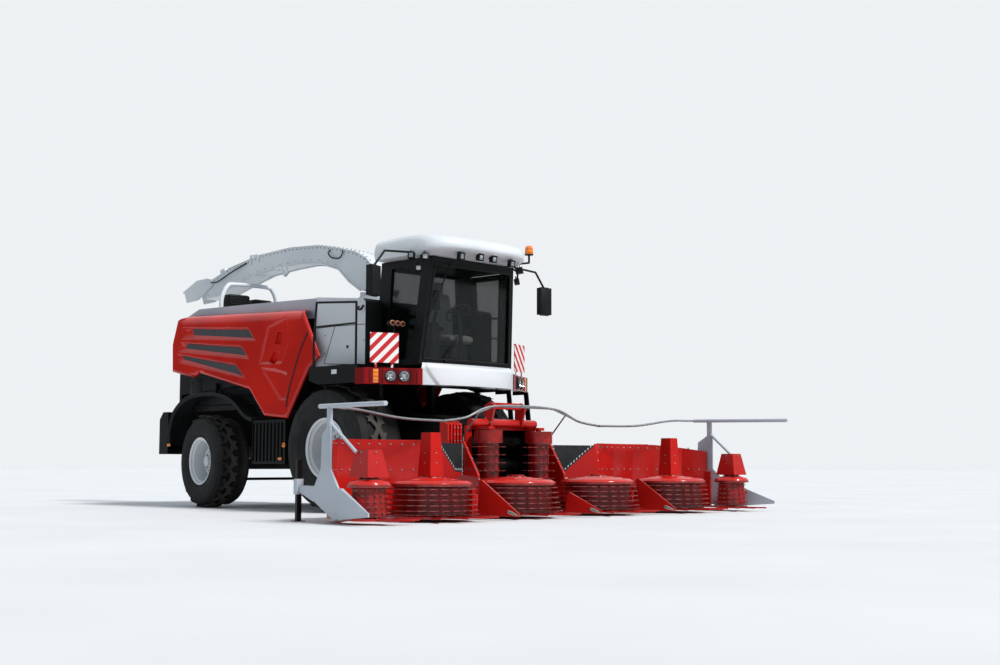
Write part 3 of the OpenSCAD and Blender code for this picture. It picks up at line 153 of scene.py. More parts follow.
# %% [markdown]
# The rotors cut their way through maize, so their dark red enamel is worn off every edge
# and dulled by plant juice. The Bevel node compares the true normal with a rounded one:
# where they differ there is an edge, and there bare steel shows through.
# %% Worn enamel of the rotors
def worn_enamel(name, colour, shade, bare, edge_mm=9):
    mat, skin, place = finish(name, 0.3, **{"Coat Weight": 0.3, "Coat Roughness": 0.12})
    cloud = put(mat, "TexNoise", {"Vector": place, "Scale": 1 / 0.12, "Detail": 6.0, "Roughness": 0.65})
    tone = put(mat, "ValToRGB", {0: cloud.outputs[0]}, [(0.38, colour), (0.68, shade)])
    round_n = put(mat, "Bevel", {"Radius": edge_mm / 1000}, samples=3)
    true_n = put(mat, "NewGeometry").outputs["Normal"]
    alike = put(mat, "VectorMath", {0: round_n.outputs[0], 1: true_n}, operation="DOT_PRODUCT")
    edge = put(mat, "MapRange", {0: alike.outputs["Value"], 1: 0.97, 2: 0.8})
    scuff = put(mat, "TexNoise", {"Vector": place, "Scale": 1 / 0.05, "Detail": 8.0, "Roughness": 0.7})
    keep = put(mat, "MapRange", {0: scuff.outputs[0], 1: 0.42, 2: 0.58})
    worn = put(mat, "Math", {0: edge.outputs[0], 1: keep.outputs[0]}, operation="MULTIPLY")
    mixed = put(mat, "Mix", {0: worn.outputs[0], 6: tone.outputs[0], 7: lin(bare)}, data_type="RGBA")
    feed(skin, "Base Color", mixed.outputs[2])
    feed(skin, "Metallic", worn.outputs[0])
    bump = put(mat, "Bump", {"Strength": 0.15, "Distance": 0.004, "Height": scuff.outputs[0]})
    feed(skin, "Normal", bump.outputs[0])
    return mat


rotor_enamel = worn_enamel("worn_dark_red_enamel", "#9A1512", "#650D0C", "#A8A29A")
print("worn enamel ready")

# %% [markdown]
# Tractor tyres are vulcanised black rubber. It is never glossy: carbon black makes it dark,
# and a grey-brown bloom of road dust lies in the tread and on the sidewall. The rings that
# the mould leaves on the sidewall are about 25 mm apart.
# %% Vulcanised rubber
def rubber(name, colour, shade, dust_colour, ring_mm=0, centre=(0, 0, 0), dust=0.35, tread=0.0):
    mat, skin, place = finish(name, 0.72, ior=1.52, **{"Specular IOR Level": 0.25})
    cloud = put(mat, "TexNoise", {"Vector": place, "Scale": 1 / 0.25, "Detail": 8.0, "Roughness": 0.7})
    film = put(mat, "MapRange", {0: cloud.outputs[0], 1: 0.45, 2: 0.8, 3: 0.0, 4: dust})
    speck = put(mat, "TexNoise", {"Vector": place, "Scale": 1 / 0.02, "Detail": 4.0})
    tone = put(mat, "ValToRGB", {0: speck.outputs[0]}, [(0.3, colour), (0.75, shade)])
    dry = {0: film.outputs[0], 6: tone.outputs[0], 7: lin(dust_colour)}
    mixed = put(mat, "Mix", dry, data_type="RGBA")
    feed(skin, "Base Color", mixed.outputs[2])
    height = speck.outputs[0]
    if ring_mm:
        # Distance from the wheel's axis, turned into rings by a sine
        local = put(mat, "VectorMath", {0: place, 1: centre}, operation="SUBTRACT")
        flat = put(mat, "VectorMath", {0: local.outputs[0], 1: (0.0, 1.0, 1.0)}, operation="MULTIPLY")
        radius = put(mat, "VectorMath", {0: flat.outputs[0]}, operation="LENGTH")
        phase = put(mat, "Math", {0: radius.outputs["Value"], 1: 2000 * math.pi / ring_mm},
                    operation="MULTIPLY")
        wave = put(mat, "Math", {0: phase.outputs[0]}, operation="SINE")
        both = {0: wave.outputs[0], 1: 0.35, 2: speck.outputs[0]}
        height = put(mat, "Math", both, operation="MULTIPLY_ADD").outputs[0]
        # Dry earth wears the lugs pale where they touch the road
        lug = put(mat, "MapRange", {0: radius.outputs["Value"], 1: tread - 0.02, 2: tread, 3: 0.0, 4: 0.55})
        worn = put(mat, "Math", {0: lug.outputs[0], 1: film.outputs[0]}, operation="ADD")
        feed(mixed, 0, worn.outputs[0])
    bump = put(mat, "Bump", {"Strength": 0.35, "Distance": 0.005, "Height": height})
    feed(skin, "Normal", bump.outputs[0])
    return mat


tyre_mats = {}
for wheel in ("front_left", "front_right", "rear_left", "rear_right"):
    low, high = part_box("tyre_" + wheel)
    middle, tread = tuple((low + high) / 2), high.z - (low.z + high.z) / 2
    tyre_mats[wheel] = rubber("tyre_rubber_" + wheel, "#111213", "#191A1B", "#57524A", 26, middle, 0.22,
                              tread)
sheet_rubber = rubber("reinforced_sheet_rubber", "#14191A", "#1E2426", "#5C5A54", dust=0.2)
print("rubber for", len(tyre_mats), "tyres and the sheets")

# %% [markdown]
# Mirror shells, mudguards and cab trim are moulded black ABS and polypropylene. The mould's
# leather grain is about 1 mm and is drawn at 12 mm so that it still breaks the shine.
# %% Moulded plastic and seat cloth
def moulded(name, colour, shade, roughness, grain_mm=12, strength=0.2):
    mat, skin, place = finish(name, roughness, ior=1.46, **{"Specular IOR Level": 0.25})
    cells = put(mat, "TexVoronoi", {"Vector": place, "Scale": 1000 / grain_mm})
    cloud = put(mat, "TexNoise", {"Vector": place, "Scale": 1 / 0.3, "Detail": 4.0})
    tone = put(mat, "ValToRGB", {0: cloud.outputs[0]}, [(0.35, colour), (0.7, shade)])
    feed(skin, "Base Color", tone.outputs[0])
    bump = put(mat, "Bump", {"Strength": strength, "Distance": 0.002, "Height": cells.outputs[0]})
    feed(skin, "Normal", bump.outputs[0])
    return mat


black_plastic = moulded("black_moulded_polypropylene", "#0C0D0E", "#141516", 0.5)
cab_trim = moulded("grey_moulded_cab_trim", "#4A4C4D", "#404243", 0.62)
print("plastics ready")

# %% [markdown]
# Cab glass is tinted green-grey against the sun. Real panes both mirror the sky and let the
# far side of the cab show, so the shader is clear glass with a thin tint, and very smooth.
# That near-black tint is partly the glass's own green and partly painted shade that keeps
# the panes dark.
# %% Tinted glass and lamp lenses
def glass(name, tint, clear=0.62, roughness=0.02):
    mat, skin, place = finish(name, roughness, ior=1.45, **{"Specular IOR Level": 0.35, "Alpha": 1 - clear})
    haze = put(mat, "TexNoise", {"Vector": place, "Scale": 1 / 0.4, "Detail": 5.0})
    tone = put(mat, "ValToRGB", {0: haze.outputs[0]}, [(0.3, tint), (0.75, tint)])
    film = put(mat, "MapRange", {0: haze.outputs[0], 1: 0.4, 2: 0.8, 3: roughness, 4: roughness + 0.05})
    feed(skin, "Base Color", tone.outputs[0])
    feed(skin, "Roughness", film.outputs[0])
    mat.surface_render_method = "BLENDED"
    return mat


# Near-black tint: the glass's own green plus painted shade that darkens the panes
cab_pane = glass("green_tinted_cab_glass_with_painted_shade", "#07100D", clear=0.52)
print("glass ready")

# %% [markdown]
# A lamp lens is fluted polycarbonate over a bright reflector: seen from outside it is a
# pale, sparkling disc. On the clear lenses that pale colour is a painted reflection of the
# reflector, and every lens has its flute crests painted lighter and its troughs darker:
# painted highlight and shade. Its flutes are 14 mm apart in truth, and are drawn at 55 mm here.
# %% Lamp lenses
def lens(name, colour, shade, flute_mm=55, across="Z"):
    mat, skin, place = finish(name, 0.12, ior=1.58, **{"Coat Weight": 0.6, "Coat Roughness": 0.03})
    pitch = {"Vector": place, "Scale": 50 * math.tau / flute_mm, "Distortion": 0.0}
    flutes = put(mat, "TexWave", pitch, bands_direction=across)
    # Painted highlight on each flute's crest and painted shade in its trough
    tone = put(mat, "ValToRGB", {0: flutes.outputs[0]}, [(0.2, colour), (0.9, shade)])
    feed(skin, "Base Color", tone.outputs[0])
    bump = put(mat, "Bump", {"Strength": 0.4, "Distance": 0.004, "Height": flutes.outputs[0]})
    feed(skin, "Normal", bump.outputs[0])
    return mat


# The pale colour is a painted reflection of the bright reflector behind the lens
clear_lens = lens("clear_polycarbonate_lens", "#C9CDCE", "#F1F3F3")
amber_lens = lens("amber_polycarbonate_lens", "#D9660A", "#F08A1E")
# The grey is a painted reflection of the reflector behind the glass
lamp_glass = lens("clear_glass_with_a_painted_grey_reflection", "#6F777C", "#AEB4B8", 118)
# The ribs get the same painted highlight and shade over the panel's own dark red
ribbed_red = lens("dark_red_ribbed_panel", "#6A0A10", "#8E1118", 217, "X")
print("four lenses")

# %% [markdown]
# The width boards wear retroreflective film in red and white bands that fall outwards on
# both sides. Each band is 60 mm across, measured square to its slope.
# %% Striped warning film
def striped_film(name, band_mm=60, turn=22.0):
    mat, skin, place = finish(name, 0.35, ior=1.5, **{"Coat Weight": 0.6, "Coat Roughness": 0.15})
    split = put(mat, "SeparateXYZ", {0: place})
    out = put(mat, "Math", {0: split.outputs[0]}, operation="ABSOLUTE")
    folded = put(mat, "CombineXYZ", {0: out.outputs[0], 1: split.outputs[1], 2: split.outputs[2]})
    a = math.radians(turn)
    slope = (math.cos(a) * math.sqrt(0.5), math.sin(a) * math.sqrt(0.5), math.sqrt(0.5))
    run = put(mat, "VectorMath", {0: folded.outputs[0], 1: slope}, operation="DOT_PRODUCT")
    bands = put(mat, "Math", {0: run.outputs["Value"], 1: 1000 / (2 * band_mm)}, operation="MULTIPLY")
    part = put(mat, "Math", {0: bands.outputs[0]}, operation="FRACT")
    tone = put(mat, "ValToRGB", {0: part.outputs[0]}, [(0.0, "#C4161C"), (0.5, "#EDEAE6")])
    tone.color_ramp.interpolation = "CONSTANT"
    feed(skin, "Base Color", tone.outputs[0])
    grid = put(mat, "TexVoronoi", {"Vector": place, "Scale": 1 / 0.008})
    bump = put(mat, "Bump", {"Strength": 0.1, "Distance": 0.001, "Height": grid.outputs[0]})
    feed(skin, "Normal", bump.outputs[0])
    return mat


warning_film = striped_film("striped_reflective_film")
print("film ready")

# %% [markdown]
# Cylinder rods are hard chrome, ground and polished. The bent bars of the header are
# galvanised steel: a dull, spangled zinc skin. Both are metals, so their colour tints the
# reflection, and the IOR stays at its default.
# %% Bare and plated metals
def metal(name, colour, shade, roughness, grain_mm=30):
    mat, skin, place = finish(name, roughness, metallic=1.0)
    spangle = put(mat, "TexVoronoi", {"Vector": place, "Scale": 1000 / grain_mm})
    tone = put(mat, "ValToRGB", {0: spangle.outputs["Color"]}, [(0.2, colour), (0.9, shade)])
    feed(skin, "Base Color", tone.outputs[0])
    cloud = put(mat, "TexNoise", {"Vector": place, "Scale": 1 / 0.1, "Detail": 5.0})
    film = put(mat, "MapRange", {0: cloud.outputs[0], 1: 0.3, 2: 0.7, 3: roughness, 4: roughness + 0.2})
    feed(skin, "Roughness", film.outputs[0])
    return mat


hard_chrome = metal("hard_chrome", "#C9CCCE", "#B9BDC0", 0.1)
zinc = metal("galvanised_steel", "#A2A5A7", "#8E9193", 0.38)
bright_steel = metal("bare_worn_steel", "#B5B0A8", "#8F8A83", 0.32, 15)
copper = metal("dull_copper", "#B87A5E", "#96604A", 0.35)
print("metals ready")

# %% [markdown]
# The fixed model names a finish for each of its nodes. Giving every node its real material
# is a matter of one table from those names to the materials above.
# %% Paint the fixed model
FINISH = {"chassis_paint": black_enamel, "red_paint": red_enamel, "drum_paint": rotor_enamel,
          "white_paint": white_enamel, "silver_paint": grey_enamel, "rim_paint": rim_enamel,
          "sheet_rubber": sheet_rubber, "black_plastic": black_plastic, "seat_fabric": cab_trim,
          "window_glass": cab_pane, "lamp_lens": clear_lens, "board_film": warning_film,
          "rod_chrome": hard_chrome, "galvanised": zinc}


def repaint(node, paint):
    for place in frame["nodes"][node].material_slots:
        place.material = paint


for part in frame["record"]["subparts"]:
    name = part["node"]
    paint = tyre_mats[name[5:]] if name.startswith("tyre_") else FINISH[part["material_slot"]]
    if name in ("header_frame", "wing_left", "wing_right"):
        paint = header_enamel
    if name == "lamp_panels":
        paint = ribbed_red
    repaint(name, paint)
print("painted", len(frame["nodes"]), "nodes")

# %% [markdown]
# The fixed model has true shapes but sharp edges and no small parts. We build those from
# meshes, in millimetres from the front axle, and scale each finished mesh into the model.
# Every piece is told at once which body carries it, so it moves with that body.
# %% From a mesh to a piece that rides
TO_MODEL = Matrix.Translation((0, AXLE_Y, 0)) @ Matrix.Scale(0.001, 4)
SIDES = ((1, "left"), (-1, "right"))


def piece(name, bm, paints, body="chassis", sharp=35):
    bmesh.ops.transform(bm, matrix=TO_MODEL, verts=bm.verts)
    bmesh.ops.recalc_face_normals(bm, faces=bm.faces)
    mesh = bpy.data.meshes.new(name)
    bm.to_mesh(mesh)
    bm.free()
    for paint in paints if isinstance(paints, list) else [paints]:
        mesh.materials.append(paint)
    mesh.shade_smooth()
    mesh.set_sharp_from_angle(angle=math.radians(sharp))
    obj = bpy.data.objects.new(name, mesh)
    bpy.context.scene.collection.objects.link(obj)
    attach(obj, body)
    return obj


# %% [markdown]
# Nearly all small parts are rings of points joined by quads: a lathe turns one outline
# about an axis, and a tube carries a circle along a path. A block with rounded edges is the
# third kind, and a hexagon bolt is two short lathes on top of each other.
# %% Rings, lathe, tube, block and bolt
def join_rings(bm, rings, paint=0):
    made = []
    for a, b in zip(rings, rings[1:]):
        made += [bm.faces.new((a[i - 1], a[i], b[i], b[i - 1])) for i in range(len(a))]
    made += [bm.faces.new(rings[0]), bm.faces.new(rings[-1][::-1])]
    for face in made:
        face.material_index = paint


def ring(bm, centre, side, up, r, sides, squash=1.0):
    return [bm.verts.new(around(centre, side, up * squash, r, a)) for a in turns(sides)]


def turns(count, shift=0.0):
    """Evenly spaced angles, in radians."""
    return [math.tau * (k + shift) / count for k in range(count)]


def around(centre, u, v, r, angle):
    """The point at an angle on a circle that u and v span."""
    return centre + (u * math.cos(angle) + v * math.sin(angle)) * r


def lathe(bm, foot, axis, outline, sides=24, paint=0):
    axis = Vector(axis).normalized()
    side = axis.orthogonal().normalized()
    up = axis.cross(side)
    join_rings(bm, [ring(bm, Vector(foot) + axis * h, side, up, r, sides) for r, h in outline], paint)


def smooth_path(points, steps=6):
    """A round curve through all the points."""
    pts = [Vector(p) for p in points]
    pts = [pts[0] * 2 - pts[1]] + pts + [pts[-1] * 2 - pts[-2]]
    out = []
    for a, b, c, d in zip(pts, pts[1:], pts[2:], pts[3:]):
        for t in (k / steps for k in range(steps)):
            square, cube = 2 * a - 5 * b + 4 * c - d, 3 * b - a - 3 * c + d
            out.append(0.5 * (2 * b + (c - a) * t + square * t * t + cube * t ** 3))
    return out + [pts[-2]]


def tube(bm, points, r, sides=10, squash=1.0, side=None, paint=0):
    pts = [Vector(p) for p in points]
    side = Vector(side) if side else (pts[1] - pts[0]).orthogonal()
    rings = []
    for i, p in enumerate(pts):
        ahead = (pts[min(i + 1, len(pts) - 1)] - pts[max(i - 1, 0)]).normalized()
        side = (side - ahead * side.dot(ahead)).normalized()
        rings.append(ring(bm, p, side, ahead.cross(side), r, sides, squash))
    join_rings(bm, rings, paint)


def block(bm, centre, size, r=6, turn=None, paint=0):
    new = bmesh.ops.create_cube(bm, size=1.0)["verts"]
    spin = turn.to_4x4() if turn else Matrix()
    bmesh.ops.transform(bm, matrix=Matrix.Translation(centre) @ spin @ Matrix.Diagonal((*size, 1)), verts=new)
    edges = list({e for v in new for e in v.link_edges})
    made = bmesh.ops.bevel(bm, geom=edges, offset=r, segments=2, profile=0.5, affect="EDGES")["faces"]
    for face in {f for m in made for v in m.verts for f in v.link_faces}:
        face.material_index = paint


def bolt(bm, spot, facing, r=13, paint=0):
    lathe(bm, spot, facing, [(r * 1.15, -2), (r * 1.15, r * 0.2)], 12, paint)
    lathe(bm, spot, facing, [(r * 0.9, 0), (r * 0.9, r * 0.75), (r * 0.7, r * 0.9)], 6, paint)


print("shape helpers ready")

# %% [markdown]
# ## The red side panels
# Each lid is a pressed steel sheet, so its faces run into each other over rounded bends,
# and the top edge rolls over by 150 mm. We lay a net of points over the outline, 30 mm
# apart, and push every point inwards by a depth that depends on how near it is to each
# pressing. The cuts' own corners are in the net too, so that their edges come out crisp.
# %% Outline and pressings of a panel, in (y, z)
PANEL_X = 1450
PANEL = [(3842, 3136), (805, 3015), (693, 2972), (496, 2631), (300, 2290), (543, 2120), (1056, 1384),
         (1629, 1432), (2025, 1852), (3378, 2165), (3573, 2099), (4184, 2220), (4200, 2678), (4050, 3080)]
SLOTS = [[(3868, 2943), (2058, 2816), (1862, 2608), (3894, 2754)],
         [(3930, 2698), (2235, 2545), (2021, 2330), (3975, 2548)],
         [(4023, 2510), (2372, 2265), (2122, 2036), (3952, 2370)]]
GRILLES = [[(3633, 2903), (2085, 2792), (1960, 2655), (3591, 2800)],
           [(3784, 2670), (2257, 2523), (2127, 2392), (3815, 2592)],
           [(3903, 2478), (2400, 2244), (2215, 2081), (3880, 2418)]]
FACET = [(1565, 2808), (1100, 2940), (1005, 2660), (1041, 2506), (1102, 2388), (1206, 2215), (1773, 2232),
         (1670, 2542)]
SCOOPS = [[(1345, 2714), (1180, 2712), (1214, 2510), (1405, 2527)],
          [(1437, 2406), (1272, 2409), (1366, 2203), (1549, 2264)]]
FLUTE = [(1745, 2190), (1397, 2155), (1050, 2080), (1080, 1650), (1235, 1665)]
print("panel", max(p[0] for p in PANEL) - min(p[0] for p in PANEL), "mm long")


# %% How far a point lies inside an outline
def edge_distance(p, a, b):
    ab, ap = b - a, p - a
    t = max(0.0, min(1.0, ap.dot(ab) / ab.length_squared))
    return (ap - ab * t).length


def inside(p, outline):
    """Distance in from the outline's edge, below zero outside."""
    hit, near = False, 1e9
    for a, b in zip(outline, outline[1:] + outline[:1]):
        a, b = Vector(a), Vector(b)
        near = min(near, edge_distance(p, a, b))
        if (a.y > p.y) != (b.y > p.y) and p.x < a.x + (p.y - a.y) / (b.y - a.y) * (b.x - a.x):
            hit = not hit
    return near if hit else -near


def shrunk(outline, d):
    """The same outline with every side moved in by d."""
    pts = [Vector(p) for p in outline]
    mid = sum(pts, Vector((0, 0))) / len(pts)
    out = []
    for before, p, after in zip(pts[-1:] + pts, pts, pts[1:] + pts[:1]):
        n1, n2 = (p - before).orthogonal().normalized(), (after - p).orthogonal().normalized()
        n1, n2 = (n if n.dot(mid - p) > 0 else -n for n in (n1, n2))
        out.append(tuple(p + (n1 + n2) * (d / (1 + n1.dot(n2)))))
    return out


def roll(d, r):
    """Depth of a rounded edge of radius r at distance d from that edge."""
    return r - math.sqrt(max(0.0, r * r - (r - min(d, r)) ** 2))


def pressed_depth(p):
    top = edge_distance(p, Vector(PANEL[0]), Vector(PANEL[1]))
    rim = min(edge_distance(p, Vector(a), Vector(b)) for a, b in zip(PANEL[1:], PANEL[2:] + PANEL[:1]))
    depth = max(roll(top, 150), roll(rim, 42))
    # A ledge falls evenly from a slot's rim to the grille's edge
    for slot, grille_edge in zip(SLOTS, GRILLES):
        reach = inside(p, slot)
        if reach > 0:
            depth += 28 * reach / (reach + max(0.0, -inside(p, grille_edge)))
    depth += max(0.0, min(22.0, 0.55 * inside(p, FACET)))
    for scoop in SCOOPS:
        floor = 62 * max(0.0, min(1.0, (p.x - min(c[0] for c in scoop)) / 230))
        depth += max(0.0, min(floor, 4.0 * inside(p, scoop)))
    return depth + max(0.0, min(18.0, 0.45 * inside(p, FLUTE)))


print("depth at a slot's middle:", round(pressed_depth(Vector((3000, 2850))), 1), "mm")


# %% Net of points and the finished lids
def panel_net(step=30):
    rims = [PANEL] + SLOTS + GRILLES + [FACET, shrunk(FACET, 40), FLUTE, shrunk(FLUTE, 40)]
    rims += SCOOPS + [shrunk(s, 15) for s in SCOOPS] + [shrunk(PANEL, d) for d in (3, 9, 19, 42)]
    pts, edges = [], []
    for rim in rims:
        edges += [(len(pts) + i, len(pts) + (i + 1) % len(rim)) for i in range(len(rim))]
        pts += [Vector(p) for p in rim]
    lo, hi = [min(p[i] for p in PANEL) for i in (0, 1)], [max(p[i] for p in PANEL) for i in (0, 1)]
    for i in range(int((hi[0] - lo[0]) / step)):
        for k in range(int((hi[1] - lo[1]) / step)):
            p = Vector((lo[0] + (i + 0.5 * (k % 2)) * step, lo[1] + k * step))
            if inside(p, PANEL) > 6:
                pts.append(p)
    pts, _, tris, *_ = delaunay_2d_cdt(pts, edges, [], 0, 0.01)
    return pts, [t for t in tris if inside(sum((pts[i] for i in t), Vector((0, 0))) / 3, PANEL) > 0]


grille = finish("perforated_dark_steel", 0.55, 0.3)
holes = put(grille[0], "TexVoronoi", {"Vector": grille[2], "Scale": 1 / 0.014, "Randomness": 0.0})
# The holes are painted near-black: painted shade of the dark space behind the grille
wall = put(grille[0], "ValToRGB", {0: holes.outputs["Distance"]}, [(0.28, "#101213"), (0.42, "#3E4144")])
feed(grille[1], "Base Color", wall.outputs[0])
dent = put(grille[0], "Bump", {"Strength": 0.5, "Distance": 0.004, "Height": holes.outputs["Distance"]})
feed(grille[1], "Normal", dent.outputs[0])

net_points, net_tris = panel_net()
net_depth = [pressed_depth(p) for p in net_points]
for side, word in SIDES:
    bm = bmesh.new()
    verts = [bm.verts.new((side * (PANEL_X - d), p.x, p.y)) for p, d in zip(net_points, net_depth)]
    for tri in net_tris:
        face = bm.faces.new([verts[i] for i in tri])
        middle = sum((net_points[i] for i in tri), Vector((0, 0))) / 3
        face.material_index = 1 if max(inside(middle, g) for g in GRILLES) > 0 else 0
    # The rolled top runs on inwards as a level shelf to the hood
    (y0, z0), (y1, z1) = PANEL[:2]
    shelf = [(1302, y0, z0), (1302, y1, z1), (1216, y1, z1 - 4), (1216, y0, z0 - 4)]
    bm.faces.new([bm.verts.new((side * x, y, z)) for x, y, z in shelf])
    lid = piece("lid_of_the_" + word + "_side", bm, [red_enamel, grille[0]], "side_panel_" + word,
                sharp=28)
    thick = lid.modifiers.new("sheet", "SOLIDIFY")
    thick.thickness = 0.004
    thick.offset = -1.0
    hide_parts("side_panel_" + word)
print("lid net:", len(net_points), "points,", len(net_tris), "triangles")

# %% [markdown]
# Every louvre has a raised lip round it, and a rubber strip runs down the panel's front
# where it meets the fixed corner.
# %% Louvre lips and the rubber strip
STRIP = [(560, 2660), (662, 2520), (785, 2306), (919, 2007), (1014, 1760), (1062, 1560)]
for side, word in SIDES:
    bm = bmesh.new()
    for slot in SLOTS:
        path = [Vector((side * (PANEL_X - 3), p[0], p[1])) for p in slot]
        for a, b in zip(path, path[1:] + path[:1]):
            tube(bm, [a, b], 9, 8)
    piece("louvre_lips_" + word, bm, red_enamel, "side_panel_" + word)
    bm = bmesh.new()
    line = smooth_path([(side * (PANEL_X - pressed_depth(Vector(p)) + 2), *p) for p in STRIP], 5)
    tube(bm, line, 15, 8, 0.4, side=(0, 1, 0))
    piece("rubber_strip_" + word, bm, black_plastic, "side_panel_" + word)
print("lips and strips on both lids")

# %% [markdown]
# Behind each lid stands the engine bay's own side wall, a black sheet with pressed ribs. It
# closes the view through the machine over the rear wheel, and its black is painted shade of
# the bay under the lid.
# %% Side walls of the engine bay
for side, word in SIDES:
    bm = bmesh.new()
    block(bm, (side * 1140, 3060, 1905), (14, 2100, 690), 4)
    for z in (1650, 1790, 1930, 2070):
        tube(bm, [(side * 1150, 2060, z), (side * 1150, 4060, z)], 16, 8, 0.6, side=(1, 0, 0))
    block(bm, (side * 1170, 3850, 1960), (60, 330, 300), 18)
    for y, z in ((3760, 2040), (3940, 2040), (3760, 1880), (3940, 1880)):
        bolt(bm, (side * 1200, y, z), (side, 0, 0), 12)
    # The wall's black is painted shade of the bay under the lid
    piece("engine_bay_wall_" + word, bm, black_plastic, "chassis")
print("engine bay closed at both sides")

# %% [markdown]
# The rear mudguards are moulded arches. The fixed model draws each with nine corners, and
# here a smooth curve runs through the same corners, with a rolled bead along its outer edge.
# %% Smooth mudguards
GUARD_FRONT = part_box("mudguards")[0].y * 1000 - AXLE_Y * 1000
GUARD_LOW = [(GUARD_FRONT, 1345), (2160, 1420), (2480, 1640), (2800, 1755), (3250, 1790), (3700, 1740),
             (4030, 1560), (4180, 1300), (4200, 1000)]
GUARD_HIGH = [(GUARD_FRONT, 1395), (2130, 1465), (2450, 1685), (2780, 1800), (3250, 1835), (3730, 1785),
              (4070, 1600), (4230, 1330), (4250, 1000)]
bm = bmesh.new()
for side in (-1, 1):
    low, high = (smooth_path([(0, *p) for p in line], 7) for line in (GUARD_LOW, GUARD_HIGH))
    rings = []
    for a, b in zip(low, high):
        corners = ((1130, a), (1440, a), (1455, a.lerp(b, 0.3)), (1455, a.lerp(b, 0.7)), (1440, b), (1130, b))
        rings.append([bm.verts.new((side * x, p.y, p.z)) for x, p in corners])
    join_rings(bm, rings)
    tube(bm, [(side * 1446, p.y, p.z) for p in high], 12, 8)
    block(bm, (side * 1215, 3250, 1905), (50, 100, 190), 6)
arches = piece("smooth_mudguards", bm, black_plastic, "chassis", sharp=40)
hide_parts("mudguards")
print("two mudguards of", len(rings), "sections")

# %% [markdown]
# ## Cab roof and lamps
# The roof is a moulded shell, crowned and pinched at its four corners. It is a loft: one
# smooth closed section, repeated along the width, that shrinks towards both sides like a
# superellipse, so there is no flat and no sharp edge on it.
# %% The moulded roof
ROOF_Z = 3660
SECTION = [(-340, 20), (-322, 130), (-350, 262), (-450, 320), (-720, 342), (-1080, 350), (-1400, 342),
           (-1620, 310), (-1765, 256), (-1828, 178), (-1808, 96), (-1640, 40), (-1460, 6), (-900, 2),
           (-480, 4)]
loop = smooth_path([(0, y, z) for y, z in SECTION] + [(0, *SECTION[0])], 4)[:-1]
bm = bmesh.new()
rings = []
for k in range(41):
    x = -1000 + 50 * k
    full = (1 - (abs(x) / 1002) ** 8) ** 0.16
    # In plan the two front corners are cut back further than the rear ones
    front = 1 - 0.28 * (abs(x) / 1000) ** 4
    ring_yz = [((p.y + 930) * (0.72 + 0.28 * full), 70 + (p.z - 70) * (0.22 + 0.78 * full)) for p in loop]
    rings.append([bm.verts.new((x, -930 + y * (front if y < 0 else 1), ROOF_Z + z)) for y, z in ring_yz])
join_rings(bm, rings)
roof = piece("moulded_cab_roof", bm, white_enamel, "chassis", sharp=60)
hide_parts("cab_roof")
print("roof with", len(rings), "sections")

# %% [markdown]
# Work lamps are square black boxes on small brackets, each with a clear lens in front of a
# bright reflector. The same lamp is used ten times, so it is one function of its place and
# of the way it looks.
# %% Work lamps, beacon and headlamps
def work_lamp(boxes, glasses, spot, yaw, pitch=-12, w=96):
    turn = Matrix.Rotation(math.radians(yaw), 3, "Z") @ Matrix.Rotation(math.radians(pitch), 3, "X")
    spot = Vector(spot)
    block(boxes, spot, (w, 62, w), 10, turn)
    front = spot + turn @ Vector((0, -32, 0))
    for dx, dz in ((0, 1), (0, -1), (1, 0), (-1, 0)):
        size = (w, 16, 20) if dz else (20, 16, w)
        block(boxes, front + turn @ Vector((dx * w * 0.42, -2, dz * w * 0.42)), size, 3, turn)
    block(glasses, front + turn @ Vector((0, -1, 0)), (w * 0.7, 10, w * 0.7), 3, turn)
    tube(boxes, [spot, spot + Vector((0, 20, w * 0.9))], 8, 8)


boxes, glasses = bmesh.new(), bmesh.new()
for x in (-522, -137, 137, 522):
    work_lamp(boxes, glasses, (x, -1730, ROOF_Z + 6 + 24 * (abs(x) < 200)), 0, 8, 100)
for s in (-1, 1):
    for x, y, z, yaw in ((985, -1480, ROOF_Z - 30, 35), (1100, -1330, ROOF_Z - 10, 62),
                         (1010, -1380, ROOF_Z - 190, 50)):
        work_lamp(boxes, glasses, (s * x, y, z), s * yaw)
    tube(boxes, smooth_path([(s * 900, -1300, ROOF_Z + 40), (s * 1000, -1400, ROOF_Z - 40),
                             (s * 1060, -1350, ROOF_Z - 120), (s * 1000, -1370, ROOF_Z - 200)]), 14)
    # Rear lamps on the bumper
    block(boxes, (s * 1170, 4592, 1120), (176, 30, 136), 8)
piece("lamp_boxes", boxes, black_plastic, "chassis")
lenses = piece("lamp_glasses", glasses, lamp_glass, "chassis")
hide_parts("lamps")
bm = bmesh.new()
lathe(bm, (1110, -1550, ROOF_Z + 225), (0, 0, 1), [(64, 0), (66, 12), (62, 60), (56, 110), (38, 130),
                                                   (12, 136)], 32)
for s in (-1, 1):
    block(bm, (s * 1170, 4612, 1140), (150, 14, 60), 5)
piece("beacon_dome", bm, amber_lens, "chassis")
bm = bmesh.new()
lathe(bm, (1110, -1550, ROOF_Z + 90), (0, 0, 1), [(16, 0), (16, 120), (66, 122), (66, 138)], 24)
tube(bm, [(880, -1420, ROOF_Z + 60), (1110, -1550, ROOF_Z + 96)], 16, 8)
piece("beacon_stalk", bm, black_plastic, "chassis")
print("ten work lamps under the roof's edge")

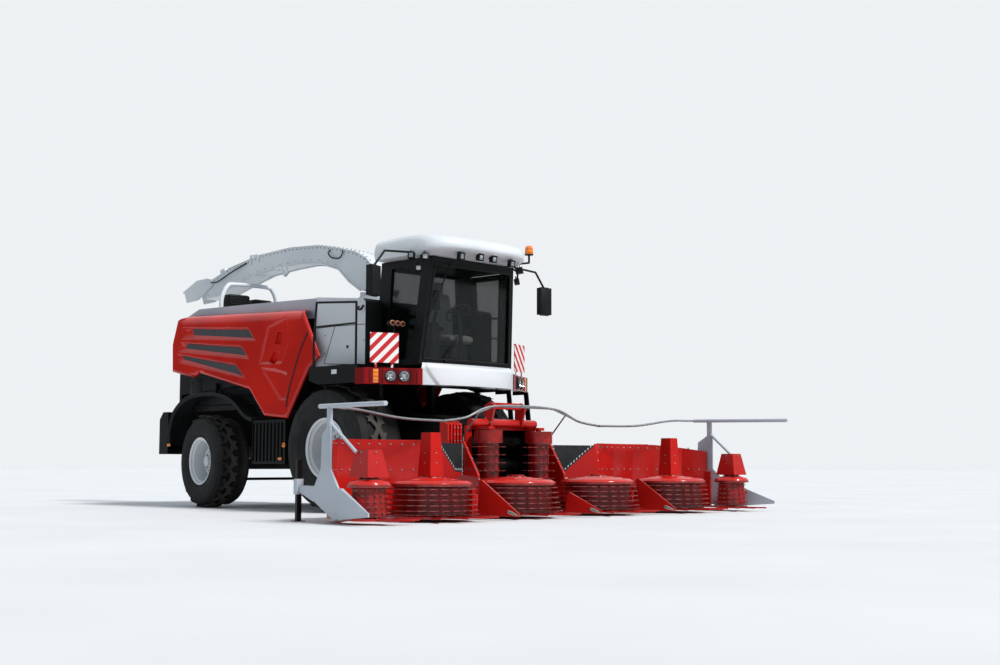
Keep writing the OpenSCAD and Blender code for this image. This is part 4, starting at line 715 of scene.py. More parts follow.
# %% [markdown]
# The swept panels beside the apron are red with two round headlamps and an amber indicator.
# A headlamp is a chromed bowl with a clear bulb in it and a dark ring round it.
# %% Round headlamps in the swept panels
LAMP_MID_Z = 1935
LAMP_A, LAMP_B = Vector((944, -1410, LAMP_MID_Z)), Vector((1680, -990, LAMP_MID_Z))
bowls, domes, ambers, rims = bmesh.new(), bmesh.new(), bmesh.new(), bmesh.new()
for s in (-1, 1):
    a, b = Vector((s * LAMP_A.x, LAMP_A.y, LAMP_A.z)), Vector((s * LAMP_B.x, LAMP_B.y, LAMP_B.z))
    along = (b - a).normalized()
    out = Vector((along.y, -along.x, 0)) * s
    for t in (0.32, 0.55):
        spot = a.lerp(b, t)
        lathe(rims, spot - out * 30, out, [(86, 0), (86, 34), (80, 40), (72, 32), (72, 0)], 32)
        lathe(bowls, spot - out * 45, out, [(20, 0), (44, 8), (66, 46), (73, 64), (68, 64), (40, 20),
                                            (18, 14)], 32)
        lathe(domes, spot - out * 38, out, [(24, 0), (26, 14), (20, 30), (8, 38)], 24)
        # Two crossed bars over the bowl break up what it mirrors
        for tilt in (0.8, 2.37):
            arm = around(Vector(), Vector((0, 0, 1)), along, 66, tilt)
            tube(bowls, [spot + out * 14 - arm, spot + out * 14 + arm], 6, 6)
    turn = Matrix.Rotation(math.atan2(along.y, along.x), 3, "Z")
    block(ambers, a.lerp(b, 0.8) + out * 3, (78, 16, 196), 6, turn)
    for t in (0.1, 0.2, 0.43, 0.68, 0.9):
        block(rims, a.lerp(b, t) + out * 2, (9, 12, 206), 3, turn)
piece("headlamp_rings", rims, black_plastic, "chassis")
piece("headlamp_bowls", bowls, hard_chrome, "chassis")
piece("headlamp_bulbs", domes, clear_lens, "chassis")
piece("indicator_lenses", ambers, amber_lens, "chassis")
print("four headlamps and two indicators")

# %% [markdown]
# ## Cab details
# Two long wipers lie on the screen, the panes sit in rubber seals, and inside there is a
# padded seat with a tall back. A seat pad is foam under cloth: it bulges in the middle and
# is drawn in at its seams, so it is a block with its corners pulled in, then subdivided.
# %% Wipers, seals and handles
CAB_FRONT, CAB_FLOOR, LEAN = -1330, 2110, 150


def screen_y(z):
    """The windscreen's outer face leans forward as it rises."""
    return CAB_FRONT - LEAN * (z - CAB_FLOOR) / (ROOF_Z - CAB_FLOOR)


bm = bmesh.new()
for x0, z0, x1, z1 in ((-850, 2813, -470, 3600), (-450, 2180, -150, 2560)):
    low, high = Vector((x0, screen_y(z0) - 16, z0)), Vector((x1, screen_y(z1) - 16, z1))
    tube(bm, [low, high], 9, 8, 0.6)
    tube(bm, [low + Vector((14, -14, 10)), low.lerp(high, 0.5) + Vector((10, -26, 0)), low.lerp(high, 0.8)],
         6, 6)
lathe(bm, (-450, screen_y(2180) - 4, 2180), (0, -1, 0), [(24, 0), (22, 30), (10, 36)], 16)
# Rubber seal round the windscreen
ring_xz = [(-875, 2200), (875, 2200), (775, 3550), (-775, 3550)]
for (xa, za), (xb, zb) in zip(ring_xz, ring_xz[1:] + ring_xz[:1]):
    tube(bm, [(xa, screen_y(za) - 2, za), (xb, screen_y(zb) - 2, zb)], 15, 8)
piece("wipers_and_screen_seal", bm, black_plastic, "chassis")
bm = bmesh.new()
tube(bm, smooth_path([(965, -1080, 2640), (992, -1080, 2680), (988, -1080, 2860), (955, -1080, 2900)]), 12)
piece("door_handle", bm, black_plastic, "door")
# Rounded shells over the mirrors' plain housings
bm = bmesh.new()
for s in (-1, 1):
    turn = Matrix.Rotation(math.radians(-12 * s), 3, "Z")
    block(bm, (s * 1760, -1270, 3240), (228, 98, 450), 44, turn)
    block(bm, Vector((s * 1760, -1270, 3240)) + turn @ Vector((0, -48, 0)), (190, 14, 400), 5, turn)
piece("mirror_shells", bm, black_plastic, "chassis")
print("two wipers, a seal, a handle and two mirror shells")


# %% Seat, console and wheel
def cushion(name, centre, size, tilt=0, seams=3):
    """A padded block: crowned faces with sewn channels across them."""
    bm = bmesh.new()
    bmesh.ops.create_grid(bm, x_segments=10, y_segments=10, size=0.5)
    top = list(bm.verts)
    made = bmesh.ops.extrude_face_region(bm, geom=list(bm.faces))
    for v in [g for g in made["geom"] if isinstance(g, bmesh.types.BMVert)]:
        v.co.z += 1
    for v in bm.verts:
        edge = max(abs(v.co.x), abs(v.co.y)) * 2
        swell = math.sqrt(max(0.0, 1 - edge ** 4))
        groove = 0.12 * (abs(math.sin(v.co.y * math.pi * seams)) < 0.35)
        v.co.z = 0.5 + (v.co.z - 0.5) * (0.45 + 0.55 * swell - groove)
        v.co.x *= 1 - 0.06 * abs(v.co.y * 2) ** 3
    spin = Matrix.Rotation(math.radians(tilt), 4, "X")
    move = Matrix.Translation(centre) @ spin @ Matrix.Diagonal((*size, 1)) @ Matrix.Translation((0, 0, -0.5))
    bmesh.ops.transform(bm, matrix=move, verts=bm.verts)
    # The cloth is one skin with no sharp edge
    pad = piece(name, bm, seat_cloth, "chassis", sharp=180)
    pad.modifiers.new("soft", "SUBSURF").levels = 1
    return pad


# Light grey cloth, painted paler still: painted light for the cab's dim inside
seat_cloth = moulded("seat_cloth_painted_paler_as_light", "#ECEFEB", "#D5D9D4", 0.85, 6, 0.35)
FLOOR, SEAT_X = CAB_FLOOR + 60, 110
base = cushion("seat_pad", (SEAT_X, -890, FLOOR + 380), (520, 470, 150))
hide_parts("cab_interior")
cushion("seat_back", (SEAT_X, -625, FLOOR + 760), (500, 700, 130), 82)
cushion("head_rest", (SEAT_X, -550, FLOOR + 1190), (290, 190, 90), 84, 1)
bm = bmesh.new()
block(bm, (SEAT_X, -870, FLOOR + 150), (420, 320, 300), 30)
block(bm, (-390, -880, FLOOR + 300), (170, 440, 600), 40)
for dx in (-290, 290):
    block(bm, (SEAT_X + dx, -830, FLOOR + 520), (80, 330, 60), 20)
tube(bm, smooth_path([(0, -1200, FLOOR), (0, -1200, FLOOR + 500), (0, -1140, FLOOR + 760)]), 34)
tube(bm, smooth_path([(-390, -1050, FLOOR + 600), (-390, -1070, FLOOR + 700), (-380, -1090, FLOOR + 760)]),
     22)
block(bm, (-560, -1180, FLOOR + 900), (40, 240, 300), 14, Matrix.Rotation(0.5, 3, "Z"))
axis = Matrix.Rotation(math.radians(-35), 3, "X") @ Vector((0, 0, 1))
hub = Vector((0, -1140, FLOOR + 770))
wheel_side, wheel_up = axis.orthogonal().normalized(), axis.cross(axis.orthogonal().normalized())
rim = [around(hub, wheel_side, wheel_up, 185, a) for a in turns(36) + [math.tau]]
tube(bm, rim, 14, 10)
for a in (0, 2.1, 4.2):
    tube(bm, [hub, around(hub, wheel_side, wheel_up, 185, a)], 12, 8)
lathe(bm, hub - axis * 20, axis, [(45, 0), (50, 20), (30, 40)], 24)
piece("seat_base_console_and_wheel", bm, cab_trim, "chassis")
print("seat with three pads")

# %% [markdown]
# ## White cowl
# The cowl is folded sheet: a service door with slanting edges is cut into it, and the cut
# shows as a thin dark line. A line that thin is best laid on as a bead: the black beads on
# the cut and on the crease are painted shade of the narrow gap and of the fold.
# %% Seams, lock and plates of the cowl
COWL_X = 1300
DOOR_CUT = [(115, 2726), (360, 2180), (-515, 2128)]
CREASE = [(545, 2722), (115, 2726), (-560, 2712)]
for side, word in SIDES:
    bm = bmesh.new()
    # Black beads on the door cut and the crease: painted shade of the gap and the fold
    for line in (DOOR_CUT, CREASE):
        for (ya, za), (yb, zb) in zip(line, line[1:]):
            tube(bm, [(side * COWL_X, ya, za), (side * COWL_X, yb, zb)], 5, 8)
    lathe(bm, (side * COWL_X, -178, 2407), (side, 0, 0), [(22, -2), (22, 6), (14, 8), (12, 3)], 20)
    for y, z in ((340, 2330), (340, 2600), (-540, 2480)):
        bolt(bm, (side * COWL_X, y, z), (side, 0, 0), 8)
    piece("cowl_seams_" + word, bm, black_plastic, "chassis")
    bm = bmesh.new()
    # Raised louvre tips along the sloping top edge
    for k in range(12):
        y = 190 - 62 * k
        block(bm, (side * 1262, y, 3098 + 0.08 * y), (52, 34, 16), 5, Matrix.Rotation(0.5, 3, "X"))
    piece("cowl_louvre_tips_" + word, bm, white_enamel, "chassis")
    bm = bmesh.new()
    block(bm, (side * 1641, -291, 2020), (4, 118, 64), 1.5)
    piece("blank_plate_" + word, bm, white_enamel, "chassis")
# Every face of the cowl that looks forward is painted near-black, which darkens its narrow front face beside
# the cab
forward_faces_blackened = enamel("white_enamel_with_black_front", "#D8DBDD", "#CDD2D6", 0.3, 0.3, 0.12, FIELD_DUST)
forward_blackened_skin = next(n for n in forward_faces_blackened.node_tree.nodes if n.type == "BSDF_PRINCIPLED")
faces = put(forward_faces_blackened, "SeparateXYZ", {0: put(forward_faces_blackened, "NewGeometry").outputs["True Normal"]})
ahead = put(forward_faces_blackened, "Math", {0: faces.outputs[1], 1: -0.6}, operation="LESS_THAN")
plain = forward_blackened_skin.inputs["Base Color"].links[0].from_socket
dark = put(forward_faces_blackened, "Mix", {0: ahead.outputs[0], 6: plain, 7: lin("#0C0D0E")}, data_type="RGBA")
feed(forward_blackened_skin, "Base Color", dark.outputs[2])
repaint("cowl", forward_faces_blackened)
# Three pipe mouths on a small stand over the right-hand warning board, and a coat hook
bm = bmesh.new()
MOUTHS = [Vector((-1020 - 112 * k, -1060 - 18 * k, 2700)) for k in range(3)]
for mouth in MOUTHS:
    tube(bm, [mouth + Vector((24, 110, -4)), mouth], 36, 16)
tube(bm, [MOUTHS[0] + Vector((10, 70, -36)), MOUTHS[2] + Vector((10, 70, -36))], 14, 8)
tube(bm, [MOUTHS[1] + Vector((0, 70, -36)), (-1132, -1008, 2092)], 14, 8)
tube(bm, smooth_path([(-1300, -420, 2975), (-1340, -450, 2940), (-1345, -520, 2925), (-1335, -565, 2985)]),
     15)
piece("pipe_stand_and_hook", bm, black_plastic, "chassis")
bm = bmesh.new()
for mouth in MOUTHS:
    lathe(bm, mouth, (-0.2, -1, 0.04), [(36, -14), (40, -6), (40, 8), (29, 10), (26, -8), (8, -10)], 24)
piece("pipe_mouths", bm, copper, "chassis")
print("cowl details on both sides")

# %% [markdown]
# ## Discharge spout
# The arch is a welded box. Its parts are bolted through flanges: a rolled lip runs along
# the inner edge, a row of bolts along the outer one, and nuts stand on the top cover.
# %% Lips, bolts and brackets of the arch
ARCH = [(390, 3425, 880, 3425), (430, 3640, 1150, 3585), (746, 3935, 1420, 3810), (1007, 4060, 1890, 3950),
        (1502, 4180, 2372, 4000), (1935, 4260, 2910, 3985), (2704, 4300, 3552, 3935),
        (3556, 4260, 4300, 3770), (4446, 4120, 4780, 3650), (4960, 3960, 5150, 3625)]
HALF_W = 165


def along(points, step):
    """Evenly spaced spots on a path, each with its direction."""
    left, out = step / 2, []
    for a, b in zip(points, points[1:]):
        length = (b - a).length
        while left < length:
            out.append((a.lerp(b, left / length), (b - a).normalized()))
            left += step
        left -= length
    return out


outer = [Vector((y, z)) for y, z, _, _ in ARCH]
inner = [Vector((y, z)) for _, _, y, z in ARCH]
lips, bolts = bmesh.new(), bmesh.new()
for s in (-1, 1):
    # Both lips end short of the flap, which swings down over the arch's mouth
    tube(lips, [(s * (HALF_W + 8), p.x, p.y) for p in inner[:-1]], 22, 8, 0.6, side=(1, 0, 0))
    tube(lips, [(s * (HALF_W + 3), p.x, p.y - 4) for p in outer[1:-1]], 13, 8, 0.5, side=(1, 0, 0))
    for spot, ahead in along(outer[1:], 105):
        down = Vector((ahead.y, -ahead.x))
        p = spot + down * 42
        bolt(bolts, (s * HALF_W, p.x, p.y), (s, 0, 0), 11)
        bolt(bolts, (s * 135, spot.x, spot.y), (0, -down.x, -down.y), 12)
    for spot, ahead in along(inner[2:], 210):
        up = Vector((-ahead.y, ahead.x))
        p = spot + up * 58
        bolt(bolts, (s * HALF_W, p.x, p.y), (s, 0, 0), 9)
piece("spout_lips", lips, white_enamel, "spout")
piece("spout_bolts", bolts, zinc, "spout")

brackets = bmesh.new()
block(brackets, (-HALF_W - 12, 3690, 4262), (24, 250, 30), 6)
block(brackets, (-HALF_W - 12, 3580, 4200), (24, 60, 110), 6)
block(brackets, (-HALF_W - 12, 3790, 4180), (24, 50, 130), 6)
block(brackets, (-HALF_W - 30, 2960, 3960), (60, 170, 60), 12)
block(brackets, (-HALF_W - 30, 2790, 3900), (56, 110, 150), 12, Matrix.Rotation(-0.6, 3, "X"))
block(brackets, (0, 4700, 4090), (250, 150, 90), 14, Matrix.Rotation(-0.3, 3, "X"))
piece("spout_brackets", brackets, white_enamel, "spout")

handle = bmesh.new()
tube(handle, smooth_path([(-HALF_W - 6, 1640, 4150), (-HALF_W - 40, 1650, 4090), (-HALF_W - 40, 1560, 4010),
                          (-HALF_W - 40, 1380, 3985), (-HALF_W - 40, 1310, 4030),
                          (-HALF_W - 6, 1330, 4100)]), 11)
flap_rod = [(-HALF_W - 20, 3900, 4150), (-HALF_W - 60, 4300, 4020), (-HALF_W - 50, 4700, 3900),
            (-HALF_W - 40, 4930, 3900)]
tube(handle, smooth_path(flap_rod), 12)
piece("spout_handle_and_flap_rod", handle, black_plastic, "spout")
print("spout dressed with", len(along(outer[1:], 105)) * 4, "bolts and more")

# %% [markdown]
# Behind the hood stands the spout's travel rest: a white hoop of bent tube with the cooler's
# dark housing inside it.
# %% Travel rest behind the hood
bm = bmesh.new()
HOOP_Y = 3800
tube(bm, smooth_path([(-760, HOOP_Y, 3240), (-745, HOOP_Y, 3500), (-640, HOOP_Y, 3700),
                      (-480, HOOP_Y, 3745), (160, HOOP_Y, 3752), (300, HOOP_Y, 3690), (385, HOOP_Y, 3500),
                      (400, HOOP_Y, 3240)], 6), 36, 14)
piece("travel_rest", bm, white_enamel, "chassis")
bm = bmesh.new()
block(bm, (-420, HOOP_Y + 60, 3420), (420, 260, 300), 40)
block(bm, (90, HOOP_Y + 60, 3400), (380, 220, 250), 40)
for k in range(6):
    block(bm, (-420, HOOP_Y - 74, 3320 + 42 * k), (380, 12, 12), 4)
piece("cooler_housing", bm, black_plastic, "chassis")
print("rest at y =", HOOP_Y)

# %% [markdown]
# ## Wheels
# A wheel disc carries ten nuts on a circle, a stepped hub cap with its own ring of bolts,
# and two pressed ridges. All of that turns with the wheel, so it rides on the wheel's body.
# %% Nuts, hub caps and ridges
# Side, rim radius, how far out the disc and its hub stand, hub radius and rim edge, in mm
FRONT, REAR = (420, 124, 41, 150, 178), (358, 74, 21, 110, 156)
WHEELS = {"front_left": (1, 0, FRONT), "front_right": (-1, 0, FRONT), "rear_left": (1, -8, REAR),
          "rear_right": (-1, -8, REAR)}
for word, (side, steer, (rim_r, disc, hub, hub_r, edge)) in WHEELS.items():
    low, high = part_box("rim_" + word)
    mid = (low + high) / 2
    centre = Vector((mid.x * 1000, (mid.y - AXLE_Y) * 1000, mid.z * 1000))
    turn = Matrix.Rotation(math.radians(steer), 3, "Z")
    out, u, v = turn @ Vector((side, 0, 0)), turn @ Vector((0, 1, 0)), Vector((0, 0, 1))
    face = centre + out * disc
    hub_face = face + out * hub
    nuts, cap, ridges = bmesh.new(), bmesh.new(), bmesh.new()
    for a in turns(10):
        bolt(nuts, around(face, u, v, rim_r * 0.44, a), out, 19)
    dome = [(hub_r - 4, 0), (hub_r - 6, 12), (hub_r * 0.78, 18), (hub_r * 0.74, 62), (hub_r * 0.6, 72),
            (hub_r * 0.2, 76)]
    lathe(cap, hub_face, out, dome, 40)
    for a in turns(12, 0.5):
        bolt(nuts, around(hub_face + out * 12, u, v, hub_r * 0.86, a), out, 9)
    for share, inset in ((0.76, -66), (0.96, edge)):
        path = [around(face + out * inset, u, v, rim_r * share, a) for a in turns(60) + [math.tau]]
        tube(ridges, path, 7, 8)
    wheel_body = word.split("_")[0] + "_wheel_" + word.split("_")[1]
    piece("nuts_" + word, nuts, zinc, wheel_body)
    piece("hub_cap_" + word, cap, rim_enamel, wheel_body)
    piece("rim_ridges_" + word, ridges, rim_enamel, wheel_body)
print("four wheels with", 4 * 22, "nuts and bolts")

# %% [markdown]
# Reflectors and marker lamps are small, but they are what the law asks for and the eye
# looks for: amber ones along the sides and round ones above the front boxes.
# %% Reflectors and marker lamps
bm = bmesh.new()
for s in (-1, 1):
    block(bm, (s * 1456, 4212, 1009), (8, 90, 42), 3)
    block(bm, (s * 1436, 1219, 780), (8, 90, 42), 3)
    lathe(bm, (s * 1430, 1126, 985), (s, 0, 0), [(38, 0), (38, 10), (30, 20), (8, 24)], 24)
piece("side_reflectors", bm, amber_lens, "chassis")
print("six amber markers")

# %% [markdown]
# ## The header
# The header is welded from folded sheet and bolted together in sections. Bolt heads run
# along the walls' tops and the fold joints, every rotor has a bolted cap, and each divider
# ends in a bare steel point that ploughs through fallen stalks.
# %% Bolts, caps and points of the header
WALL_Z = 1020
WALL = [(1690, -2400), (1900, -2300), (2300, -2200), (2820, -2165), (3200, -2280), (3560, -2560),
        (3770, -2900)]
DRUMS = {1: (-3657, -3430, 262), 2: (-2432, -3174, 530), 3: (-832, -3117, 530), 4: (832, -3117, 530),
         5: (2432, -3174, 530), 6: (3657, -3430, 262)}


for side, word in SIDES:
    bm = bmesh.new()
    path = [Vector((side * x, y, WALL_Z - 60)) for x, y in WALL]
    for spot, ahead in along(path, 170):
        front = Vector((ahead.y, -ahead.x, 0)) * side
        if front.y > 0:
            front = -front
        bolt(bm, spot + front, front, 11)
        bolt(bm, spot + Vector((0, 0, -330)) + front, front, 10)
    for z in (200, 330, 460, 760, 880):
        bolt(bm, (side * 1700, -2402, z), (0, -1, 0), 12)
    for i in (1, 2) if side < 0 else (5, 6):
        x, y, r = DRUMS[i]
        w = 95 if r > 400 else 120
        for dx, dy in ((1, 0), (-1, 0), (0, 1), (0, -1)):
            for z in (600, 720, 840):
                reach = w * (1.08 - 0.00025 * (z - 560))
                bolt(bm, (x + dx * reach, y + dy * reach, z), (dx, dy, 0), 10)
    piece("wing_bolts_" + word, bm, zinc, "wing_" + word)
bm = bmesh.new()
for x in range(-1150, 1151, 115):
    if abs(x) > 660:
        bolt(bm, (x, -2345, 300), (0, -1, 0), 10)
for s in (-1, 1):
    for z in (500, 640, 780, 920):
        bolt(bm, (s * 880, -2476 + max(0, (z - 560) * 0.63), z), (0, -1, 0), 11)
        bolt(bm, (s * 640, -2352, z), (0, -1, 0), 11)
    for y, z in ((-2150, 1290), (-2100, 1480), (-2060, 1350)):
        bolt(bm, (s * 331, y, z), (s, 0, 0), 13)
for x in (-1045, -985, -925):
    for z in (1020, 1110, 1200):
        bolt(bm, (x, -2171, z), (0, -1, 0), 8)
piece("header_bolts", bm, zinc, "header")
print("header bolts placed")

# %% [markdown]
# Each rotor is covered by a stepped dish with a rolled edge, glossy where the crop slides
# over it, and a worn cap with a ring of bolts sits on top. They all turn with the rotor.
# %% Rotor dishes and caps
for i, (x, y, r) in DRUMS.items():
    top = 460
    bm = bmesh.new()
    wide = 150 if r > 400 else 120
    lathe(bm, (x, y, top + 68), (0, 0, 1), [(wide, 0), (wide - 10, 16), (104, 22), (100, 8)], 32)
    piece("rotor_cap_" + str(i), bm, rotor_enamel, "drum_" + str(i))
    bm = bmesh.new()
    for a in turns(8, 0.5):
        bolt(bm, (x + math.cos(a) * 122, y + math.sin(a) * 122, top + 84), (0, 0, 1), 9)
    piece("rotor_bolts_" + str(i), bm, bright_steel, "drum_" + str(i))
    bm = bmesh.new()
    dish = [(0.975, 2), (0.955, 22), (0.9, 40), (0.82, 48), (0.7, 52), (0.68, 60), (0.45, 66), (0.43, 74),
            (0.3, 78)]
    lathe(bm, (x, y, top), (0, 0, 1), [(r * share, h) for share, h in dish], 72)
    middle, u, v = Vector((x, y, top + 2)), Vector((1, 0, 0)), Vector((0, 1, 0))
    tube(bm, [around(middle, u, v, r - 16, a) for a in turns(96) + [math.tau]], 15, 10)
    piece("rotor_dish_" + str(i), bm, red_enamel, "drum_" + str(i))
print("six rotors capped")

# %% [markdown]
# The divider points are bare, polished by the stubble. A point is a small lofted cone over
# the welded wedge.
# %% Points of the dividers
bm = bmesh.new()
for x, tip in ((1605, -3910), (-1605, -3910), (0, -3900)):
    lathe(bm, (x, tip + 190, 112), (0, -1, -0.26), [(26, 0), (30, 40), (24, 110), (12, 180), (4, 200)], 20)
piece("divider_points", bm, bright_steel, "header")
for side, word in SIDES:
    bm = bmesh.new()
    block(bm, (side * 3862, -3490, 262), (14, 130, 120), 4, Matrix.Rotation(0.4, 3, "X"))
    piece("end_wedge_" + word, bm, header_enamel, "wing_" + word)
    # The wing's first wall strip overlaps the flexible sheet from in front
    bm = bmesh.new()
    block(bm, (side * 1658, -2404, 560), (100, 8, 900), 2)
    piece("wing_edge_" + word, bm, header_enamel, "wing_" + word)
print("divider points, end wedges and wing edges")

# %% [markdown]
# The rubber sheet between the middle section and the wing bends as the wing folds up. A
# flat bar with a row of bolts clamps its inner edge to the middle section.
# %% Clamping bars of the rubber sheets
for side, word in SIDES:
    bm = bmesh.new()
    a, b = Vector((side * 925, -2196, 560)), Vector((side * 925, -2196, 985))
    tube(bm, [a, b], 16, 8, 0.4, side=(1, 0, 0))
    for k in range(5):
        bolt(bm, a.lerp(b, (k + 0.5) / 5) + Vector((0, -5, 0)), (0, -1, 0), 9)
    piece("sheet_clamp_" + word, bm, zinc, "header")
print("clamping bars on")

# %% [markdown]
# The sheet between the middle section and each wing is black rubber above and red enamel
# below a slanting bolted seam. Both halves are one flexible sheet, so the colour is split
# in the material: a point is black where it lies above both lines of the seam.
# %% Two-colour flexible sheet
seam_sheet = rubber("rubber_and_red_flexible_sheet", "#14191A", "#1E2426", "#5C5A54", dust=0.2)
seam_skin = next(n for n in seam_sheet.node_tree.nodes if n.type == "BSDF_PRINCIPLED")
seam_place = put(seam_sheet, "TexCoord").outputs["Object"]
seam_xyz = put(seam_sheet, "SeparateXYZ", {0: seam_place})
seam_x = put(seam_sheet, "Math", {0: seam_xyz.outputs[0]}, operation="ABSOLUTE")
SEAM_LOW, SEAM_HIGH = (1.12, 0.6), (1.605, 0.985)
rise = (SEAM_HIGH[1] - SEAM_LOW[1]) / (SEAM_HIGH[0] - SEAM_LOW[0])
foot = SEAM_LOW[1] - rise * SEAM_LOW[0]
slant = put(seam_sheet, "Math", {0: seam_x.outputs[0], 1: rise, 2: foot}, operation="MULTIPLY_ADD")
seam = put(seam_sheet, "Math", {0: slant.outputs[0], 1: SEAM_LOW[1]}, operation="MAXIMUM")
black = put(seam_sheet, "Math", {0: seam_xyz.outputs[2], 1: seam.outputs[0]}, operation="GREATER_THAN")
dull = seam_skin.inputs["Base Color"].links[0].from_socket
tone = put(seam_sheet, "Mix", {0: black.outputs[0], 6: lin("#A8120E"), 7: dull}, data_type="RGBA")
# Bolt heads along the seam, 60 mm apart and 30 mm above it
above = put(seam_sheet, "Math", {0: seam_xyz.outputs[2], 1: seam.outputs[0]}, operation="SUBTRACT")
aside = put(seam_sheet, "Math", {0: above.outputs[0], 1: 0.036, 2: 0.013}, operation="COMPARE")
count = put(seam_sheet, "Math", {0: seam_x.outputs[0], 1: 1 / 0.046}, operation="MULTIPLY")
spot = put(seam_sheet, "Math", {0: count.outputs[0]}, operation="FRACT")
spot = put(seam_sheet, "Math", {0: spot.outputs[0], 1: 0.5, 2: 0.22}, operation="COMPARE")
head = put(seam_sheet, "Math", {0: aside.outputs[0], 1: spot.outputs[0]}, operation="MULTIPLY")
tone = put(seam_sheet, "Mix", {0: head.outputs[0], 6: tone.outputs[2], 7: lin("#B4B8BA")}, data_type="RGBA")
feed(seam_skin, "Base Color", tone.outputs[2])
for name in ("rubber_sheet_left", "rubber_sheet_right"):
    repaint(name, seam_sheet)
print("seam rises", round(math.degrees(math.atan(rise))), "degrees")

# %% [markdown]
# ## Apron under the windscreen
# The apron is one moulded shell that bows forward in the middle. At both ends a scoop is
# pressed in, whose edge runs down and inwards. It is a grid of points bent by a formula.
# %% The bowed apron
APRON_X, APRON_LOW, APRON_TOP = 944, 1822, 2140


def apron_y(x, z):
    share = abs(x) / APRON_X
    low, high = -1580 + 168 * share ** 2.6, -1548 + 136 * share ** 2.6
    top = -1452 + 62 * share ** 2
    if z < 2060:
        y = low + (high - low) * ((z - APRON_LOW) / (2060 - APRON_LOW)) ** 1.6
    else:
        t = (z - 2060) / (APRON_TOP - 2060)
        y = high + (top - high) * t * t
    edge = APRON_X - 60 - 190 * (1 - (z - APRON_LOW) / (APRON_TOP - APRON_LOW)) ** 1.5
    return y + 34 * max(0.0, min(1.0, (abs(x) - edge) / 26))


bm = bmesh.new()
levels = [APRON_LOW + (APRON_TOP - APRON_LOW) * k / 26 for k in range(27)]
columns = [-APRON_X + 2 * APRON_X * k / 120 for k in range(121)]
net = []
for x in columns:
    # A strip runs from the back of the lower edge over the face to the top's back edge
    face = [(x * (1 - 0.04 * max(0.0, (z - 2060) / 80)), apron_y(x, z), z) for z in levels]
    strip = [(x, -1310, APRON_LOW)] + face + [(x * 0.96, -1352, APRON_TOP + 2)]
    net.append([bm.verts.new(p) for p in strip])
for a, b in zip(net, net[1:]):
    for k in range(len(a) - 1):
        bm.faces.new((a[k], b[k], b[k + 1], a[k + 1]))
apron = piece("bowed_apron", bm, white_enamel, "chassis", sharp=50)
apron.modifiers.new("shell", "SOLIDIFY").thickness = 0.008
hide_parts("apron")
print("apron with", len(columns), "columns")

# %% [markdown]
# The bent tubes of the crop guard are slim steel pipes. The fixed model draws their cores,
# and these skins give them the round, softly bent look of pipe that was bent cold.
# %% Skins of the bent guard tubes
POST_Z = 1370
bm = bmesh.new()
middle = [(-1610, -2500, 1270), (-1150, -2490, 1330), (-600, -2480, 1495), (600, -2480, 1495),
          (1150, -2490, 1330), (1610, -2500, 1270)]
tube(bm, smooth_path(middle, 8), 17, 12)
piece("guard_skin_middle", bm, zinc, "header")
for side, word in SIDES:
    bm = bmesh.new()
    wing = [(3772, -2650, POST_Z + 24), (3200, -2600, POST_Z + 10), (2400, -2580, 1290), (1650, -2540, 1272),
            (1604, -2541, 1270)]
    tube(bm, smooth_path([(side * x, y, z) for x, y, z in wing], 8), 17, 12)
    piece("guard_skin_" + word, bm, zinc, "wing_" + word)
print("guard tubes skinned")

# %% [markdown]
# The picture needs a floor, a soft sun and a bright sky. The sun stands high in front of
# the machine, as on the forecourt, so the front is lit and the near side lies in soft shade.
# Paint and glass mirror a sky that is darker near the ground, as a yard with trees is.
# %% Floor, light and sky
floor_mat, floor_skin, floor_place = finish("pale_studio_floor", 0.8)
floor_cloud = put(floor_mat, "TexNoise", {"Vector": floor_place, "Scale": 1 / 2.5, "Detail": 3.0})
floor_tone = put(floor_mat, "ValToRGB", {0: floor_cloud.outputs[0]}, [(0.3, "#D6D7D7"), (0.7, "#DDDEDE")])
feed(floor_skin, "Base Color", floor_tone.outputs[0])
floor_mesh = bpy.data.meshes.new("floor")
floor_mesh.from_pydata([(-150, -150, 0), (150, -150, 0), (150, 150, 0), (-150, 150, 0)], [], [(0, 1, 2, 3)])
floor = bpy.data.objects.new("studio_floor", floor_mesh)
floor_mesh.materials.append(floor_mat)
bpy.context.scene.collection.objects.link(floor)

sun = bpy.data.objects.new("soft_sun", bpy.data.lights.new("soft_sun", "SUN"))
sun.data.energy = 3.3
sun.data.angle = math.radians(12)
sun.rotation_euler = Vector((-0.12, 0.85, -1.0)).to_track_quat("-Z", "Y").to_euler()
bpy.context.scene.collection.objects.link(sun)

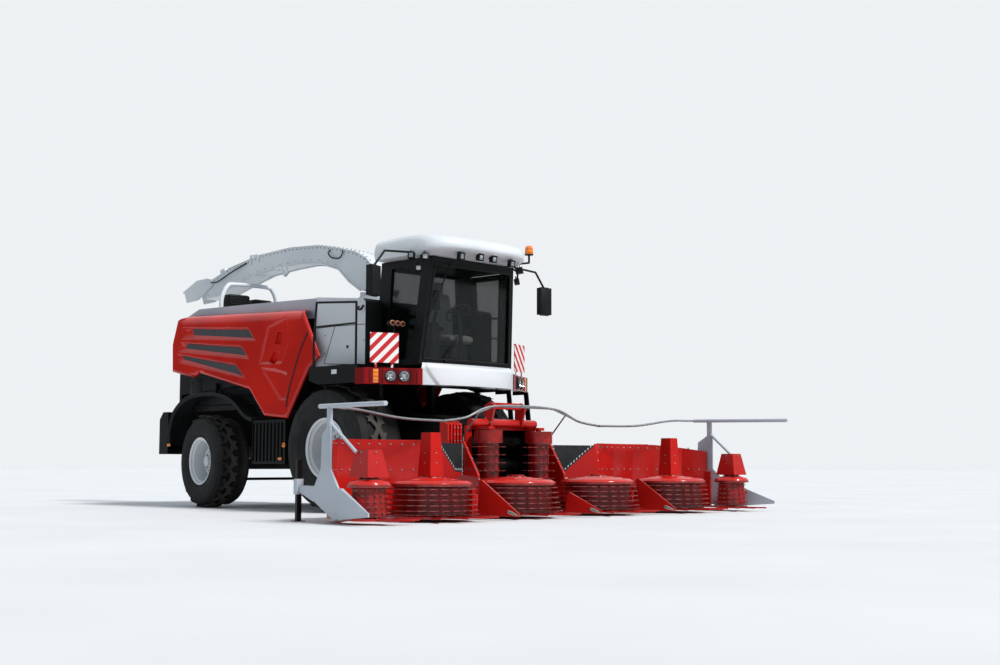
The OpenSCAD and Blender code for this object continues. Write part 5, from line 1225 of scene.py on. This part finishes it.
sky = bpy.data.worlds.new("studio_sky")
bpy.context.scene.world = sky
sky.use_nodes = True
sky.node_tree.nodes.clear()
glow = put(sky, "Background", {"Color": lin("#DCE6F2"), "Strength": 0.6})
seen = put(sky, "Background", {"Color": lin("#EEF1F3"), "Strength": 1.0})
ray = put(sky, "LightPath")
upward = put(sky, "SeparateXYZ", {0: put(sky, "TexCoord").outputs["Generated"]})
YARD = [(0.0, "#30352F"), (0.1, "#4A514B"), (0.3, "#C9D4DE"), (0.8, "#F2F5F8")]
trees = put(sky, "ValToRGB", {0: upward.outputs[2]}, YARD)
# Behind the machine the sky is open, which level plates mirror at a shallow angle
aim = put(sky, "TexCoord").outputs["Generated"]
behind = put(sky, "VectorMath", {0: aim, 1: (0.7, 0.7, 0.0)}, operation="DOT_PRODUCT")
opened = put(sky, "MapRange", {0: behind.outputs["Value"], 1: 0.72, 2: 0.93})
mirrored = put(sky, "Mix", {0: opened.outputs[0], 6: trees.outputs[0], 7: lin("#E4E9EC")}, data_type="RGBA")
yard = put(sky, "Background", {"Color": mirrored.outputs[2]})
both = put(sky, "MixShader", {0: ray.outputs["Is Camera Ray"], 1: glow.outputs[0], 2: seen.outputs[0]})
both = put(sky, "MixShader", {0: ray.outputs["Is Glossy Ray"], 1: both.outputs[0], 2: yard.outputs[0]})
put(sky, "OutputWorld", {"Surface": both.outputs[0]})
print("floor, sun and sky ready")

# %% [markdown]
# The photographer stood low and far off the machine's right front corner. Position, turn,
# tilt and lens were fitted to points of known size on the machine, such as wheels and boards.
# %% The camera
EYE_MM = (-14469, -16008, 709)
TURN, TILT, ROLL, LENS_MM = -45.953, 5.329, 0.115, 50.71
camera = bpy.data.objects.new("camera", bpy.data.cameras.new("camera"))
camera.data.lens = LENS_MM
camera.data.sensor_width = 36
camera.data.sensor_fit = "HORIZONTAL"
camera.data.clip_end = 500
turned = Matrix.Rotation(math.radians(TURN), 4, "Z") @ Matrix.Rotation(math.radians(90 + TILT), 4, "X")
camera.matrix_world = Matrix.Translation(at(*EYE_MM)) @ turned @ Matrix.Rotation(math.radians(ROLL), 4, "Z")
bpy.context.scene.collection.objects.link(camera)
bpy.context.scene.camera = camera
bpy.context.scene.view_settings.view_transform = "Standard"
print("camera", round((camera.location - at(0, 0, 1500)).length, 2), "m from the machine")
